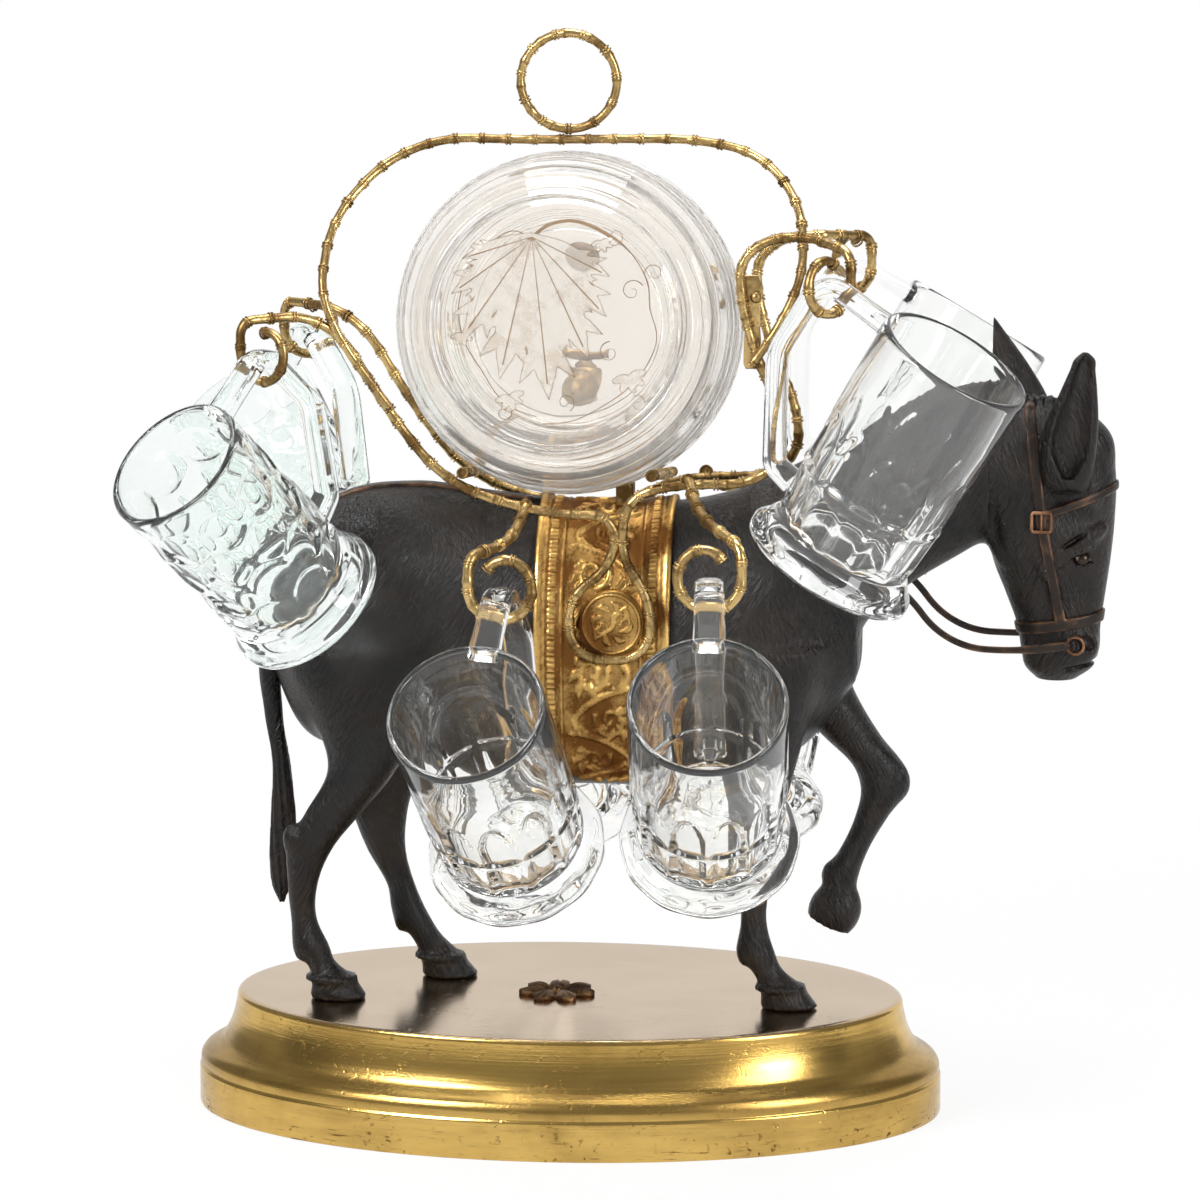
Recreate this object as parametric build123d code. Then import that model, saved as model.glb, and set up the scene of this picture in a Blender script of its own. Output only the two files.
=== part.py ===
from build123d import *
import math
import os

# Liqueur stand: a pack donkey on an oval base carries a glass barrel and hanging glass mugs.
# Lengths are in millimetres. X runs from the tail to the nose, Y from the near flank to the far flank, Z up.
# The origin is the middle of the base's underside.

# Oval base
BASE_LENGTH = 211.0
BASE_WIDTH = 134.0
BASE_HEIGHT = 33.0
BASE_BAND = 11.5
BASE_STEP = 0.8
BASE_EDGE = 1.5
BASE_SKIRT = 5.0
BASE_TOP_INSET = 11.0
BASE_MOULDING = [
    # Roll and hollow between the band and the top edge, as shares of the way in and of the way up
    (0.03, 0.07),
    (0.12, 0.20),
    (0.40, 0.31),
    (0.66, 0.45),
    (0.84, 0.66),
    (0.96, 0.88),
]
BASE_WALL = 4.5
BASE_TOP_PLATE = 3.0
BASE_RIM = 4.0
BOARD_THICKNESS = 4.0
BOARD_GAP = 0.15
ROSETTE_RADIUS = 11.0
ROSETTE_PETALS = 7
ROSETTE_PETAL_RADIUS = 3.4
ROSETTE_HEIGHT = 2.5
ROSETTE_PLACE = (-3.0, -4.0)

# Studs that hold the standing hooves
STUD_RADIUS = 1.5
STUD_GRIP = 4.0
STUD_SPARE = 1.0
STUD_GAP = 0.05
STUD_SIDES = 8
NUT_RADIUS = 3.2
NUT_HEIGHT = 2.4

# Donkey, as stations of its elliptical sections
SADDLE_TOP = 173.3
TRUNK = [
    # X, lower and upper height, half width
    (-84.0, 124.0, 151.0, 8.0),
    (-78.0, 112.0, 165.0, 17.0),
    (-64.0, 101.0, 174.5, 23.5),
    (-44.0, 95.5, 178.0, 26.5),
    (-20.0, 93.0, 175.5, 26.5),
    (10.0, 92.5, SADDLE_TOP, 26.5),
    (36.0, 93.5, 175.5, 26.0),
    (56.0, 96.5, 181.0, 23.5),
    (70.0, 106.0, 176.0, 18.5),
    (80.0, 122.0, 160.0, 10.0),
]
NECK = [
    # X, Z, half depth, half width
    (58.0, 152.0, 27.0, 17.0),
    (78.0, 165.0, 25.0, 14.5),
    (96.0, 177.5, 22.5, 12.0),
    (114.0, 184.0, 20.0, 10.5),
    (128.0, 188.0, 15.0, 9.0),
]
HEAD = [
    # Z, X, half depth, half width
    (203.0, 137.5, 8.0, 6.0),
    (197.0, 137.0, 14.0, 10.0),
    (183.0, 136.0, 17.0, 13.0),
    (165.0, 133.5, 16.8, 12.5),
    (150.0, 135.5, 14.2, 10.0),
    (140.0, 137.0, 12.6, 9.0),
    (131.0, 137.5, 10.0, 8.2),
    (126.0, 136.0, 6.5, 5.8),
]
LEG_OFFSET = 15.0
LIMB_SIDES = 10
HEAD_SIDES = 16
TRUNK_SIDES = 24
HIND_NEAR = [
    # X, Z, half depth, half width
    (-60.0, 134.0, 19.0, 11.0),
    (-56.0, 112.0, 13.5, 9.5),
    (-57.5, 96.0, 9.0, 7.0),
    (-66.0, 85.0, 7.6, 5.6),
    (-72.5, 76.0, 6.8, 5.0),
    (-74.0, 66.0, 4.4, 4.1),
    (-73.5, 54.0, 3.9, 3.9),
    (-71.0, 47.5, 4.9, 4.7),
    (-67.5, 42.0, 4.6, 4.5),
]
HIND_FAR = [
    (-56.0, 134.0, 19.0, 11.0),
    (-53.0, 110.0, 12.5, 9.5),
    (-53.0, 92.0, 8.6, 7.0),
    (-55.5, 79.0, 7.4, 5.5),
    (-54.0, 69.0, 5.8, 4.7),
    (-49.5, 59.0, 4.3, 4.0),
    (-47.0, 51.0, 4.7, 4.4),
    (-43.0, 45.5, 4.8, 4.6),
    (-39.0, 41.0, 4.5, 4.4),
]
FORE_NEAR = [
    (58.0, 134.0, 16.0, 10.5),
    (57.0, 112.0, 11.0, 9.0),
    (55.0, 94.0, 7.6, 7.0),
    (54.0, 80.0, 6.4, 5.6),
    (53.8, 70.0, 4.6, 4.5),
    (53.6, 57.0, 3.9, 3.9),
    (54.5, 48.5, 4.9, 4.7),
    (59.0, 42.5, 4.6, 4.5),
]
FORE_FAR = [
    (62.0, 130.0, 14.0, 10.0),
    (74.0, 113.0, 10.0, 8.2),
    (84.0, 101.0, 7.4, 6.6),
    (89.0, 92.0, 6.2, 5.6),
    (84.5, 82.0, 4.8, 4.6),
    (78.5, 71.0, 4.3, 4.3),
    (76.0, 65.0, 4.9, 4.7),
]
# Station of the lifted leg at which its knee bends
KNEE = 3
HOOF_TOP = (6.6, 5.8)
HOOF_SOLE = (8.8, 7.0)
HOOF_HEIGHT = 6.0
HIND_NEAR_HOOF = -63.5
HIND_FAR_HOOF = -35.0
FORE_NEAR_HOOF = 64.0
RAISED_HOOF = [
    (75.5, 62.0, 5.2, 5.0),
    (74.5, 56.0, 7.0, 6.0),
    (73.0, 48.5, 7.6, 6.4),
]
TAIL = [
    (-79.0, 140.0, 4.0, 4.0),
    (-84.5, 131.0, 3.2, 3.2),
    (-84.0, 112.0, 2.4, 2.4),
    (-81.5, 94.0, 2.3, 2.3),
    (-81.5, 80.0, 3.4, 3.4),
    (-82.0, 68.0, 3.2, 3.2),
    (-82.0, 57.0, 0.9, 0.9),
]
NEAR_EAR = [
    # X, distance from the middle plane, Z, half depth, half width
    (140.5, 10.5, 180.0, 4.2, 2.8),
    (139.8, 12.5, 188.0, 6.6, 3.4),
    (141.0, 13.5, 199.0, 7.3, 3.4),
    (143.0, 14.0, 210.0, 5.4, 2.6),
    (144.5, 14.0, 220.0, 1.2, 0.9),
]
FAR_EAR = [
    (131.5, 6.5, 195.0, 4.2, 2.8),
    (128.0, 9.5, 203.0, 6.0, 3.4),
    (121.5, 12.0, 213.0, 6.6, 3.4),
    (116.5, 13.5, 222.0, 4.6, 2.6),
    (114.0, 14.0, 229.5, 1.2, 0.9),
]
EAR_CUP = 2.4
EAR_CUP_RISE = 2.0
EAR_CUP_SHARE = (0.72, 0.9)

# Harness
STRAP_THICKNESS = 0.9
STRAP_WIDTH = 3.2
STRAP_REACH = 40.0
CHEEK_STRAP = [(128.0, 203.0), (133.0, 172.0), (138.5, 143.5)]
NOSEBAND = [(121.0, 140.0), (153.0, 145.0)]
BROWBAND = [(131.5, 173.5), (155.0, 182.0)]
BUCKLE_PLACE = (133.0, 173.0)
BUCKLE_SIZE = 5.6
BUCKLE_BAR = 1.0
BUCKLE_THICKNESS = 1.2
BUCKLE_SEAT = 0.1
BIT_PLACE = (142.5, 137.0)
BIT_RADIUS = 3.4
BIT_WIRE = 1.2
BIT_SIDES = 12
BIT_SEAT = 0.8
REIN = [(140.5, 136.8), (127.0, 136.0), (113.0, 136.5), (103.5, 141.5), (96.0, 151.5), (76.0, 164.0)]
REIN_WIDTH = 3.0
REIN_THICKNESS = 0.9
REIN_OFFSET = 12.5
CRUPPER_WIDTH = 4.4
CRUPPER_DROP = 2.0

# Saddle cloth and its medallions
CLOTH_THICKNESS = 1.2
CLOTH_REAR = -7.5
CLOTH_FRONT = 30.5
CLOTH_BOTTOM = 97.0
CLOTH_ROUND = 17.0
MEDALLION_LENGTH = 17.6
MEDALLION_HEIGHT = 18.4
MEDALLION_PLACE = (14.5, 144.5)
MEDALLION_RIM = 1.6
MEDALLION_PROUD = 0.8
MEDALLION_SINK = 0.7
MEDALLION_DEPTH = 8.0
MEDALLION_SIDES = 20

# Barrel
BARREL_RADIUS = 48.0
BARREL_END_RADIUS = 40.5
BARREL_RIM_RADIUS = 37.5
BARREL_RIM_WIDTH = 3.6
BARREL_RIM_DEPTH = 4.0
BARREL_LENGTH = 74.0
BARREL_WALL = 3.0
BARREL_BULGE = 2.2
BARREL_MIDDLE = 0.2
BARREL_SHOULDER = 0.62
CAVITY_MIDDLE = 0.3
BARREL_SIDES = 32
BARREL_TILT = 9.0
BARREL_SEAT = 2.1
BARREL_HEIGHT = SADDLE_TOP + CLOTH_THICKNESS + BARREL_SEAT + BARREL_RADIUS
BARREL_X = 0.6

# Tap and cork on the barrel's far head
TAP_DROP = 20.0
TAP_RADIUS = 4.0
TAP_LENGTH = 24.0
TAP_PLUG_AT = 15.0
TAP_PLUG_RADIUS = 3.0
TAP_PLUG_GAP = 0.05
TAP_BARREL_RADIUS = 5.0
TAP_BARREL_HEIGHT = 13.0
TAP_SPOUT_RADIUS = 3.0
TAP_SPOUT_LENGTH = 9.0
TAP_SIDES = 8
TAP_PLUG_PROUD = 1.0
TAP_SPIGOT = 5.0
TAP_KEY_SPAN = 14.0
TAP_KEY_THICKNESS = 3.0
TAP_KEY_HEIGHT = 6.0
CORK_RISE = 20.0
CORK_RADIUS = 5.0
CORK_PROUD = 6.0
CORK_SIDES = 12
FIT_SHOULDER = 1.0
FIT_GAP = 0.05

# Bent rods
ROD_SIDES = 6
MIN_RUN = 0.6
SCROLL_ROD = 1.35
HOOK_ROD = 1.6
ARCH_ROD = 1.25
FRAME_OFFSET = 30.0
FRAME_DROP = 8.5
SCROLL = [
    # X, Z of the corners that the rod rounds, from the left hook to the right one
    (-46.5, 202.5),
    (-31.5, 184.0),
    (-8.0, 176.2),
    (17.0, 175.2),
    (14.5, 160.5),
    (2.6, 152.5),
    (3.4, 134.8),
    (25.2, 134.8),
    (25.8, 152.0),
    (17.0, 164.0),
    (18.8, 181.0),
    (33.5, 184.6),
    (52.5, 185.0),
    (62.5, 191.5),
    (61.8, 205.0),
    (55.4, 219.5),
    (51.0, 233.5),
    (50.0, 247.0),
    (57.5, 253.4),
]
SCROLL_LEFT_NECK = (-64.0, 231.0)
SCROLL_RIGHT_NECK = (69.0, 254.4)
UPPER_RING_RADIUS = 8.0
UPPER_RING_OFFSET = 50.0
LEFT_RING = (-79.7, 222.9)
LEFT_RING_YAW = 35.0
RIGHT_RING = (76.4, 244.1)
RIGHT_RING_YAW = 48.0
RING_TIP = 2.5

LOWER_RING_RADIUS = 8.8
LOWER_RING_OFFSET = 63.0
LOWER_LEFT_RING = (-12.8, 160.7)
LOWER_LEFT_START = (-9.0, 178.0)
LOWER_LEFT_NECK = (-11.5, 170.5)
LOWER_RIGHT_RING = (44.8, 164.5)
LOWER_RIGHT_START = (36.0, 186.0)
LOWER_RIGHT_NECK = (40.5, 178.5)
LOWER_NECK_OUT = 16.0
LOWER_RING_END = 0.7
LOWER_TIP = (1.0, 4.2)

# Carrying arch and ring
ARCH_BEND = 236.0
ARCH_TOP = 276.5
ARCH = [
    # X and Z of its corners
    (-46.5, 205.0),
    (-56.5, 224.3),
    (-66.0, 238.0),
    (-64.5, 255.6),
    (-51.0, 270.2),
    (-35.0, 276.4),
    (-14.0, 275.9),
    (14.0, 276.5),
    (36.0, 276.7),
    (54.0, 273.2),
    (66.0, 260.7),
    (67.5, 243.4),
    (62.0, 230.6),
    (54.0, 219.0),
]
ARCH_GAP = 0.1
CARRY_RING_RADIUS = 13.4
CARRY_RING_GAP = 0.1

# Ties and bar under the barrel, and the side bracket with its screw
TIE_ROD = 1.3
TIE_ANGLES = [-32.0, 32.0]
TIE_OVERHANG = 4.0
TIE_SEAT = 0.05
BAR_PLACE = 15.9
BAR_WIDTH = 5.0
BAR_DEPTH = 8.0
BRACKET_PLACE = (53.6, 230.0)
BRACKET_HEIGHT = 26.0
BRACKET_WIDTH = 5.0
BRACKET_THICKNESS = 1.4
SCREW_RADIUS = 1.6
SCREW_HEIGHT = 1.6
SCREW_RISE = 7.0
SCREW_SHIFT = 1.0
SCREW_SIDES = 12

# Mugs
MUG_HEIGHT = 71.0
MUG_RIM = 22.0
MUG_FOOT = 25.0
MUG_FOOT_THICKNESS = 3.0
MUG_STEM = 19.6
MUG_STEM_HEIGHT = 9.0
MUG_SHOULDER = 4.0
MUG_WALL = 2.4
MUG_FLOOR = 7.0
MUG_SIDES = 12
MOUTH_FLARE = 0.4
MOUTH_SPARE = 1.0
TANKARD_HEIGHT = 66.0
TANKARD_RIM = 20.3
TANKARD_FOOT = 23.0
HANDLE_WIDTH = 8.5
HANDLE_THICKNESS = 5.5
HANDLE_EYE = 4.0
HANDLE_REACH = 15.0
HANDLE_DROP = 11.0
HANDLE_GRIP = 18.0
HANDLE_LOWER_REACH = 6.0
HANDLE_ROOT = 15.0
HANDLE_ROOT_DROP = 1.0
HANDLE_LOWER_ROUND = 13.0
HANDLE_ROOT_ROUND = 4.0
HANG_GAP = 0.3

# Headings of the hanging mugs, in degrees from the outward side, towards the nose
LEFT_MUG_YAW = -42.0
RIGHT_MUG_YAW = 72.0
RIGHT_MUG_LEAN = 58.0
LOWER_LEFT_MUG_YAW = -10.0
LOWER_RIGHT_MUG_YAW = 4.0

NEAR = -1
FAR = 1


def section(centre, direction, half_deep, half_wide, sides):
    """Straight-sided face near an ellipse, square to a direction and with its width along Y."""
    plane = Plane(origin=centre, x_dir=(0, 1, 0), z_dir=direction)
    corners = []
    for i in range(sides):
        turn = 2 * math.pi * i / sides
        corners.append((half_wide * math.cos(turn), half_deep * math.sin(turn)))
    return plane * make_face(Polyline(*corners, close=True))


def limb(stations, sides=LIMB_SIDES):
    """Loft through sections (x, y, z, half depth, half width), each square to the line of centres."""
    centres = [Vector(*station[:3]) for station in stations]
    last = len(centres) - 1
    faces = []
    for i, station in enumerate(stations):
        direction = centres[min(i + 1, last)] - centres[max(i - 1, 0)]
        faces.append(section(centres[i], direction, station[3], station[4], sides))
    return loft(faces, ruled=True)


def trunk(extra=0.0):
    """Barrel of the donkey's body, swollen by an extra thickness."""
    faces = []
    for x, low, high, half_width in TRUNK:
        centre = Vector(x, 0, (low + high) / 2)
        faces.append(section(centre, (1, 0, 0), (high - low) / 2 + extra, half_width + extra, TRUNK_SIDES))
    return loft(faces, ruled=True)


def head_form(extra=0.0):
    """The head's form, swollen by an extra thickness."""
    faces = []
    for z, x, half_deep, half_wide in HEAD:
        centre = Vector(x, 0, z)
        faces.append(section(centre, (0, 0, -1), half_deep + extra, half_wide + extra, HEAD_SIDES))
    return loft(faces, ruled=True)


def hoof_stations(x, y):
    """Stations of a standing hoof, from its crown down to its sole on the base."""
    return [
        (x - 1.5, y, BASE_HEIGHT + HOOF_HEIGHT, *HOOF_TOP),
        (x, y, BASE_HEIGHT, *HOOF_SOLE),
    ]


def standing_leg(stations, hoof_x, side):
    """A leg down to the base, with its sole cut level and a hole for its stud."""
    y = side * LEG_OFFSET
    upper = [(x, y, z, deep, wide) for x, z, deep, wide in stations]
    leg = limb(upper + hoof_stations(hoof_x, y))
    leg -= Pos(hoof_x, y, 0) * Box(2 * BASE_HEIGHT, 2 * BASE_HEIGHT, 2 * BASE_HEIGHT)
    return leg - stud_hole(hoof_x, y, STUD_GRIP)


def outline_path(points):
    """Chain of straight runs that turns each corner in chords, as far as its shorter side allows."""
    corners = [Vector(*p) for p in points]
    path = [corners[0]]
    for before, corner, after in zip(corners, corners[1:], corners[2:]):
        to_before = before - corner
        to_after = after - corner
        reach = min(to_before.length, to_after.length) / 2
        start = corner + to_before.normalized() * reach
        end = corner + to_after.normalized() * reach
        half = math.radians(to_before.get_angle(to_after) / 2)
        bisector = (to_before.normalized() + to_after.normalized()).normalized()
        middle = corner + bisector * reach * (1 / math.cos(half) - math.tan(half))
        if (start - path[-1]).length > MIN_RUN:
            path.append(start)
        path += [middle, end]
    if (corners[-1] - path[-1]).length > MIN_RUN:
        path.append(corners[-1])
    return Polyline(*path)


def rod(points, radius):
    """Rod of a given half thickness along a rounded path."""
    path = outline_path(points)
    start = Plane(origin=path @ 0, z_dir=path % 0)
    return sweep(start * RegularPolygon(radius, ROD_SIDES), path=path, transition=Transition.RIGHT)


def ring_corners(centre, radius, yaw, turns, side):
    """Corners of the square round which a hook's ring is bent, as (right, up) signs in turns."""
    x, y, z = centre
    along = Vector(math.cos(math.radians(yaw)), side * math.sin(math.radians(yaw)), 0)
    return [Vector(x, y, z) + along * right * radius + Vector(0, 0, up * radius) for right, up in turns]


def base_profile():
    """Half outline of the base as corners: band, roll, hollow and top edge."""
    foot = BASE_LENGTH / 2
    top = foot - BASE_TOP_INSET
    rise = BASE_HEIGHT - BASE_EDGE - BASE_BAND
    return [
        (0, -BASE_SKIRT),
        (foot, -BASE_SKIRT),
        (foot, BASE_BAND),
        (foot - BASE_STEP, BASE_BAND),
        *[(foot - BASE_TOP_INSET * inward, BASE_BAND + rise * upward) for inward, upward in BASE_MOULDING],
        (top, BASE_HEIGHT - BASE_EDGE),
        (top - BASE_EDGE, BASE_HEIGHT),
        (0, BASE_HEIGHT),
    ]


def base_shell():
    """Moulded oval shell, open below, with holes for the hoof studs."""
    squeeze = BASE_WIDTH / BASE_LENGTH
    turned = revolve(Plane.XZ * make_face(Polyline(*base_profile(), close=True)), axis=Axis.Z)
    solid = scale(turned, by=(1, squeeze, 1))
    solid -= Pos(0, 0, -BASE_HEIGHT / 2) * Box(2 * BASE_LENGTH, 2 * BASE_LENGTH, BASE_HEIGHT)
    inner = BASE_LENGTH / 2 - BASE_TOP_INSET - BASE_WALL
    cavity = extrude(Ellipse(inner, inner * squeeze), BASE_HEIGHT - BASE_TOP_PLATE)
    seat = extrude(Ellipse(*board_radii(0.0)), BOARD_THICKNESS)
    return solid - cavity - seat - stud_holes()


def board_radii(gap):
    """Half length and half width of the board's recess, less a gap."""
    long = BASE_LENGTH / 2 - BASE_RIM
    return long - gap, long * BASE_WIDTH / BASE_LENGTH - gap


def base_board():
    """Board that closes the base's underside."""
    return extrude(Ellipse(*board_radii(BOARD_GAP)), BOARD_THICKNESS)


def hoof_places():
    """Where the three standing hooves meet the base."""
    return [
        (HIND_NEAR_HOOF, NEAR * LEG_OFFSET),
        (HIND_FAR_HOOF, FAR * LEG_OFFSET),
        (FORE_NEAR_HOOF, NEAR * LEG_OFFSET),
    ]


def stud_hole(x, y, depth):
    """Hole for a stud, reaching a depth above and below the base's top face."""
    outline = RegularPolygon(STUD_RADIUS + STUD_GAP, STUD_SIDES)
    return Pos(x, y, BASE_HEIGHT) * extrude(outline, depth, both=True)


def stud_holes():
    """Holes through the base's top plate for the studs."""
    return Part() + [stud_hole(x, y, 2 * BASE_TOP_PLATE) for x, y in hoof_places()]


def hoof_studs():
    """Studs with hexagon nuts that clamp the hooves to the top plate from below."""
    under = BASE_HEIGHT - BASE_TOP_PLATE
    length = BASE_TOP_PLATE + STUD_GRIP - STUD_SPARE + NUT_HEIGHT
    studs = []
    for x, y in hoof_places():
        shank = Pos(x, y, under - NUT_HEIGHT) * extrude(RegularPolygon(STUD_RADIUS, STUD_SIDES), length)
        nut = Pos(x, y, under - NUT_HEIGHT) * extrude(RegularPolygon(NUT_RADIUS, 6), NUT_HEIGHT)
        studs.append(shank + nut)
    return Compound(children=[stud.solid() for stud in studs])


def base_rosette():
    """Rosette of round petals on the base's top face."""
    out = ROSETTE_RADIUS - ROSETTE_PETAL_RADIUS
    outline = Circle(out)
    for i in range(ROSETTE_PETALS):
        turn = Rot(0, 0, 90 + 360 * i / ROSETTE_PETALS)
        outline += turn * Pos(out, 0) * Circle(ROSETTE_PETAL_RADIUS)
    flower = extrude(outline, ROSETTE_HEIGHT)
    return Pos(*ROSETTE_PLACE, BASE_HEIGHT) * flower


def donkey_body():
    """Trunk and neck, cast in one."""
    rise = (NECK[-1][1] - NECK[0][1]) / (NECK[-1][0] - NECK[0][0])
    faces = [section(Vector(x, 0, z), (1, 0, rise), deep, wide, TRUNK_SIDES) for x, z, deep, wide in NECK]
    return trunk() + loft(faces, ruled=True)


def ear(stations, side):
    """Long pointed ear, hollowed on its outer side."""
    full = limb([(x, side * y, z, deep, wide) for x, y, z, deep, wide in stations])
    deep_share, wide_share = EAR_CUP_SHARE
    cup = []
    for x, y, z, deep, wide in stations[1:]:
        cup.append((x, side * (y + EAR_CUP), z + EAR_CUP_RISE, deep * deep_share, wide * wide_share))
    return full - limb(cup)


def raised_leg():
    """Far fore leg, lifted and bent at the knee, with its hoof hanging back."""
    y = FAR * LEG_OFFSET
    stations = [(x, y, z, deep, wide) for x, z, deep, wide in FORE_FAR + RAISED_HOOF]
    return limb(stations[:KNEE + 1]) + limb(stations[KNEE:-2]) + limb(stations[-3:])


def tail():
    """Hanging tail with its tuft."""
    return limb([(x, 0, z, deep, wide) for x, z, deep, wide in TAIL])


def ribbon(points, width, low, high):
    """Strip along a line in the XZ plane, between two places across Y."""
    strip = Plane.XZ * trace(Polyline(*points), line_width=width)
    return Pos(0, high, 0) * extrude(strip, high - low)


def bridle():
    """Cheek straps over the crown, browband and noseband, lying on the head."""
    skin = head_form(STRAP_THICKNESS) - head_form()
    straps = ribbon(CHEEK_STRAP, STRAP_WIDTH, -STRAP_REACH, STRAP_REACH)
    straps += ribbon(NOSEBAND, STRAP_WIDTH, -STRAP_REACH, STRAP_REACH)
    brow = ribbon(BROWBAND, STRAP_WIDTH, -STRAP_REACH, STRAP_REACH)
    return skin & (straps + brow)


def bridle_buckles():
    """Square buckles on the cheek straps, one each side."""
    x, z = BUCKLE_PLACE
    inner = BUCKLE_SIZE - 2 * BUCKLE_BAR
    frame = Box(BUCKLE_SIZE, BUCKLE_THICKNESS, BUCKLE_SIZE) - Box(inner, 2 * BUCKLE_THICKNESS, inner)
    out = head_half_width(z) + STRAP_THICKNESS + BUCKLE_SEAT + BUCKLE_THICKNESS / 2
    return Compound(children=[(Pos(x, side * out, z) * frame).solid() for side in (NEAR, FAR)])


def head_half_width(height):
    """Half width of the head at a height, between its stations."""
    for upper, lower in zip(HEAD, HEAD[1:]):
        if lower[0] <= height <= upper[0]:
            share = (upper[0] - height) / (upper[0] - lower[0])
            return upper[3] + share * (lower[3] - upper[3])
    return HEAD[-1][3]


def bit_rings():
    """Flat rings at the corners of the mouth, let into the lips."""
    x, z = BIT_PLACE
    ring = RegularPolygon(BIT_RADIUS, BIT_SIDES) - RegularPolygon(BIT_RADIUS - BIT_WIRE, BIT_SIDES)
    disc = extrude(Plane.XZ * ring, BIT_WIRE / 2, both=True)
    skull = head_form()
    out = head_half_width(z) - BIT_SEAT
    placed = [Pos(x, side * out, z) * disc - skull for side in (NEAR, FAR)]
    return Compound(children=[ring.solids().sort_by(SortBy.VOLUME)[-1] for ring in placed])


def rein(side, body, head):
    """Flat rein from the bit back to the shoulder."""
    low = REIN_OFFSET if side == FAR else -REIN_OFFSET - REIN_THICKNESS
    strip = ribbon(REIN, REIN_WIDTH, low, low + REIN_THICKNESS)
    cut = strip - body - head
    return cut.solids().sort_by(SortBy.VOLUME)[-1]


def saddle_cloth(body):
    """Sheet over the back with rounded lower ends on both flanks."""
    middle = (CLOTH_REAR + CLOTH_FRONT) / 2
    width = CLOTH_FRONT - CLOTH_REAR
    top = SADDLE_TOP + CLOTH_ROUND
    outline = Pos(middle, (CLOTH_BOTTOM + top) / 2) * Rectangle(width, top - CLOTH_BOTTOM)
    corners = outline.vertices().sort_by(Axis.Y)[:2]
    outline = fillet(corners, CLOTH_ROUND)
    block = extrude(Plane.XZ * outline, STRAP_REACH, both=True)
    return ((trunk(CLOTH_THICKNESS) - body) & block).solids().sort_by(SortBy.VOLUME)[-1]


def crupper_strap(body, cloth, tail_part):
    """Strap along the spine from the cloth to the tail."""
    skin = trunk(STRAP_THICKNESS) - body
    rear = TRUNK[0][0]
    low = TRUNK[0][2] - CRUPPER_DROP
    reach = CLOTH_FRONT - rear
    band = Pos(rear + reach / 2, 0, low + reach / 2) * Box(reach, CRUPPER_WIDTH, reach)
    strap = (skin & band) - cloth - tail_part
    return strap.solids().sort_by(SortBy.VOLUME)[-1]


def oval(inset):
    """Straight-sided oval outline of the medallion, drawn in by an inset."""
    corners = []
    for i in range(MEDALLION_SIDES):
        turn = 2 * math.pi * i / MEDALLION_SIDES
        across = (MEDALLION_LENGTH / 2 - inset) * math.cos(turn)
        corners.append((across, (MEDALLION_HEIGHT / 2 - inset) * math.sin(turn)))
    return make_face(Polyline(*corners, close=True))


def medallion(side):
    """Oval medallion with a raised rim, seated on the cloth."""
    x, z = MEDALLION_PLACE
    face = max(station[3] for station in TRUNK) + CLOTH_THICKNESS + MEDALLION_PROUD
    plate = extrude(oval(0.0), MEDALLION_DEPTH)
    plate -= Pos(0, 0, MEDALLION_DEPTH - MEDALLION_SINK) * extrude(oval(MEDALLION_RIM), MEDALLION_SINK)
    turn = Rot(90, 0, 0) if side == NEAR else Rot(-90, 0, 0)
    placed = Pos(x, side * (face - MEDALLION_DEPTH), z - frame_drop(side)) * turn * plate
    placed -= trunk(CLOTH_THICKNESS)
    return placed.solids().sort_by(SortBy.VOLUME)[-1]


def barrel_place():
    """Location of the barrel: its own Z runs towards the far head and its own Y down."""
    axis = Vector(0, math.cos(math.radians(BARREL_TILT)), -math.sin(math.radians(BARREL_TILT)))
    return Plane(origin=(BARREL_X, 0, BARREL_HEIGHT), x_dir=(1, 0, 0), z_dir=axis).location


def glass_barrel():
    """Hollow glass barrel with recessed ends, a tap hole and a filling hole in its far head."""
    half = BARREL_LENGTH / 2
    stave = half - BARREL_RIM_WIDTH
    shoulder = (BARREL_END_RADIUS + BARREL_RADIUS) / 2 + BARREL_BULGE
    right = [
        (stave * BARREL_MIDDLE, BARREL_RADIUS),
        (stave * BARREL_SHOULDER, shoulder),
        (stave, BARREL_END_RADIUS),
        (half, BARREL_RIM_RADIUS),
    ]
    outer = ruled_stack([(-z, radius) for z, radius in reversed(right)] + right, BARREL_SIDES)
    head = half - BARREL_RIM_DEPTH
    inside = head - BARREL_WALL
    narrow = BARREL_RIM_RADIUS - 2 * BARREL_WALL
    wide = BARREL_RADIUS - 2 * BARREL_WALL
    flat = inside * CAVITY_MIDDLE
    cavity = ruled_stack([(-inside, narrow), (-flat, wide), (flat, wide), (inside, narrow)], BARREL_SIDES)
    recess = extrude(RegularPolygon(BARREL_RIM_RADIUS - BARREL_WALL, BARREL_SIDES), BARREL_RIM_DEPTH)
    recesses = Pos(0, 0, head) * recess + Pos(0, 0, -half) * recess
    tap_hole = Pos(0, TAP_DROP, inside) * extrude(RegularPolygon(TAP_RADIUS - FIT_SHOULDER, TAP_SIDES), BARREL_WALL)
    cork_hole = Pos(0, -CORK_RISE, inside) * extrude(RegularPolygon(CORK_RADIUS - FIT_SHOULDER, CORK_SIDES), BARREL_WALL)
    return barrel_place() * (outer - cavity - recesses - tap_hole - cork_hole)


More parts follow.
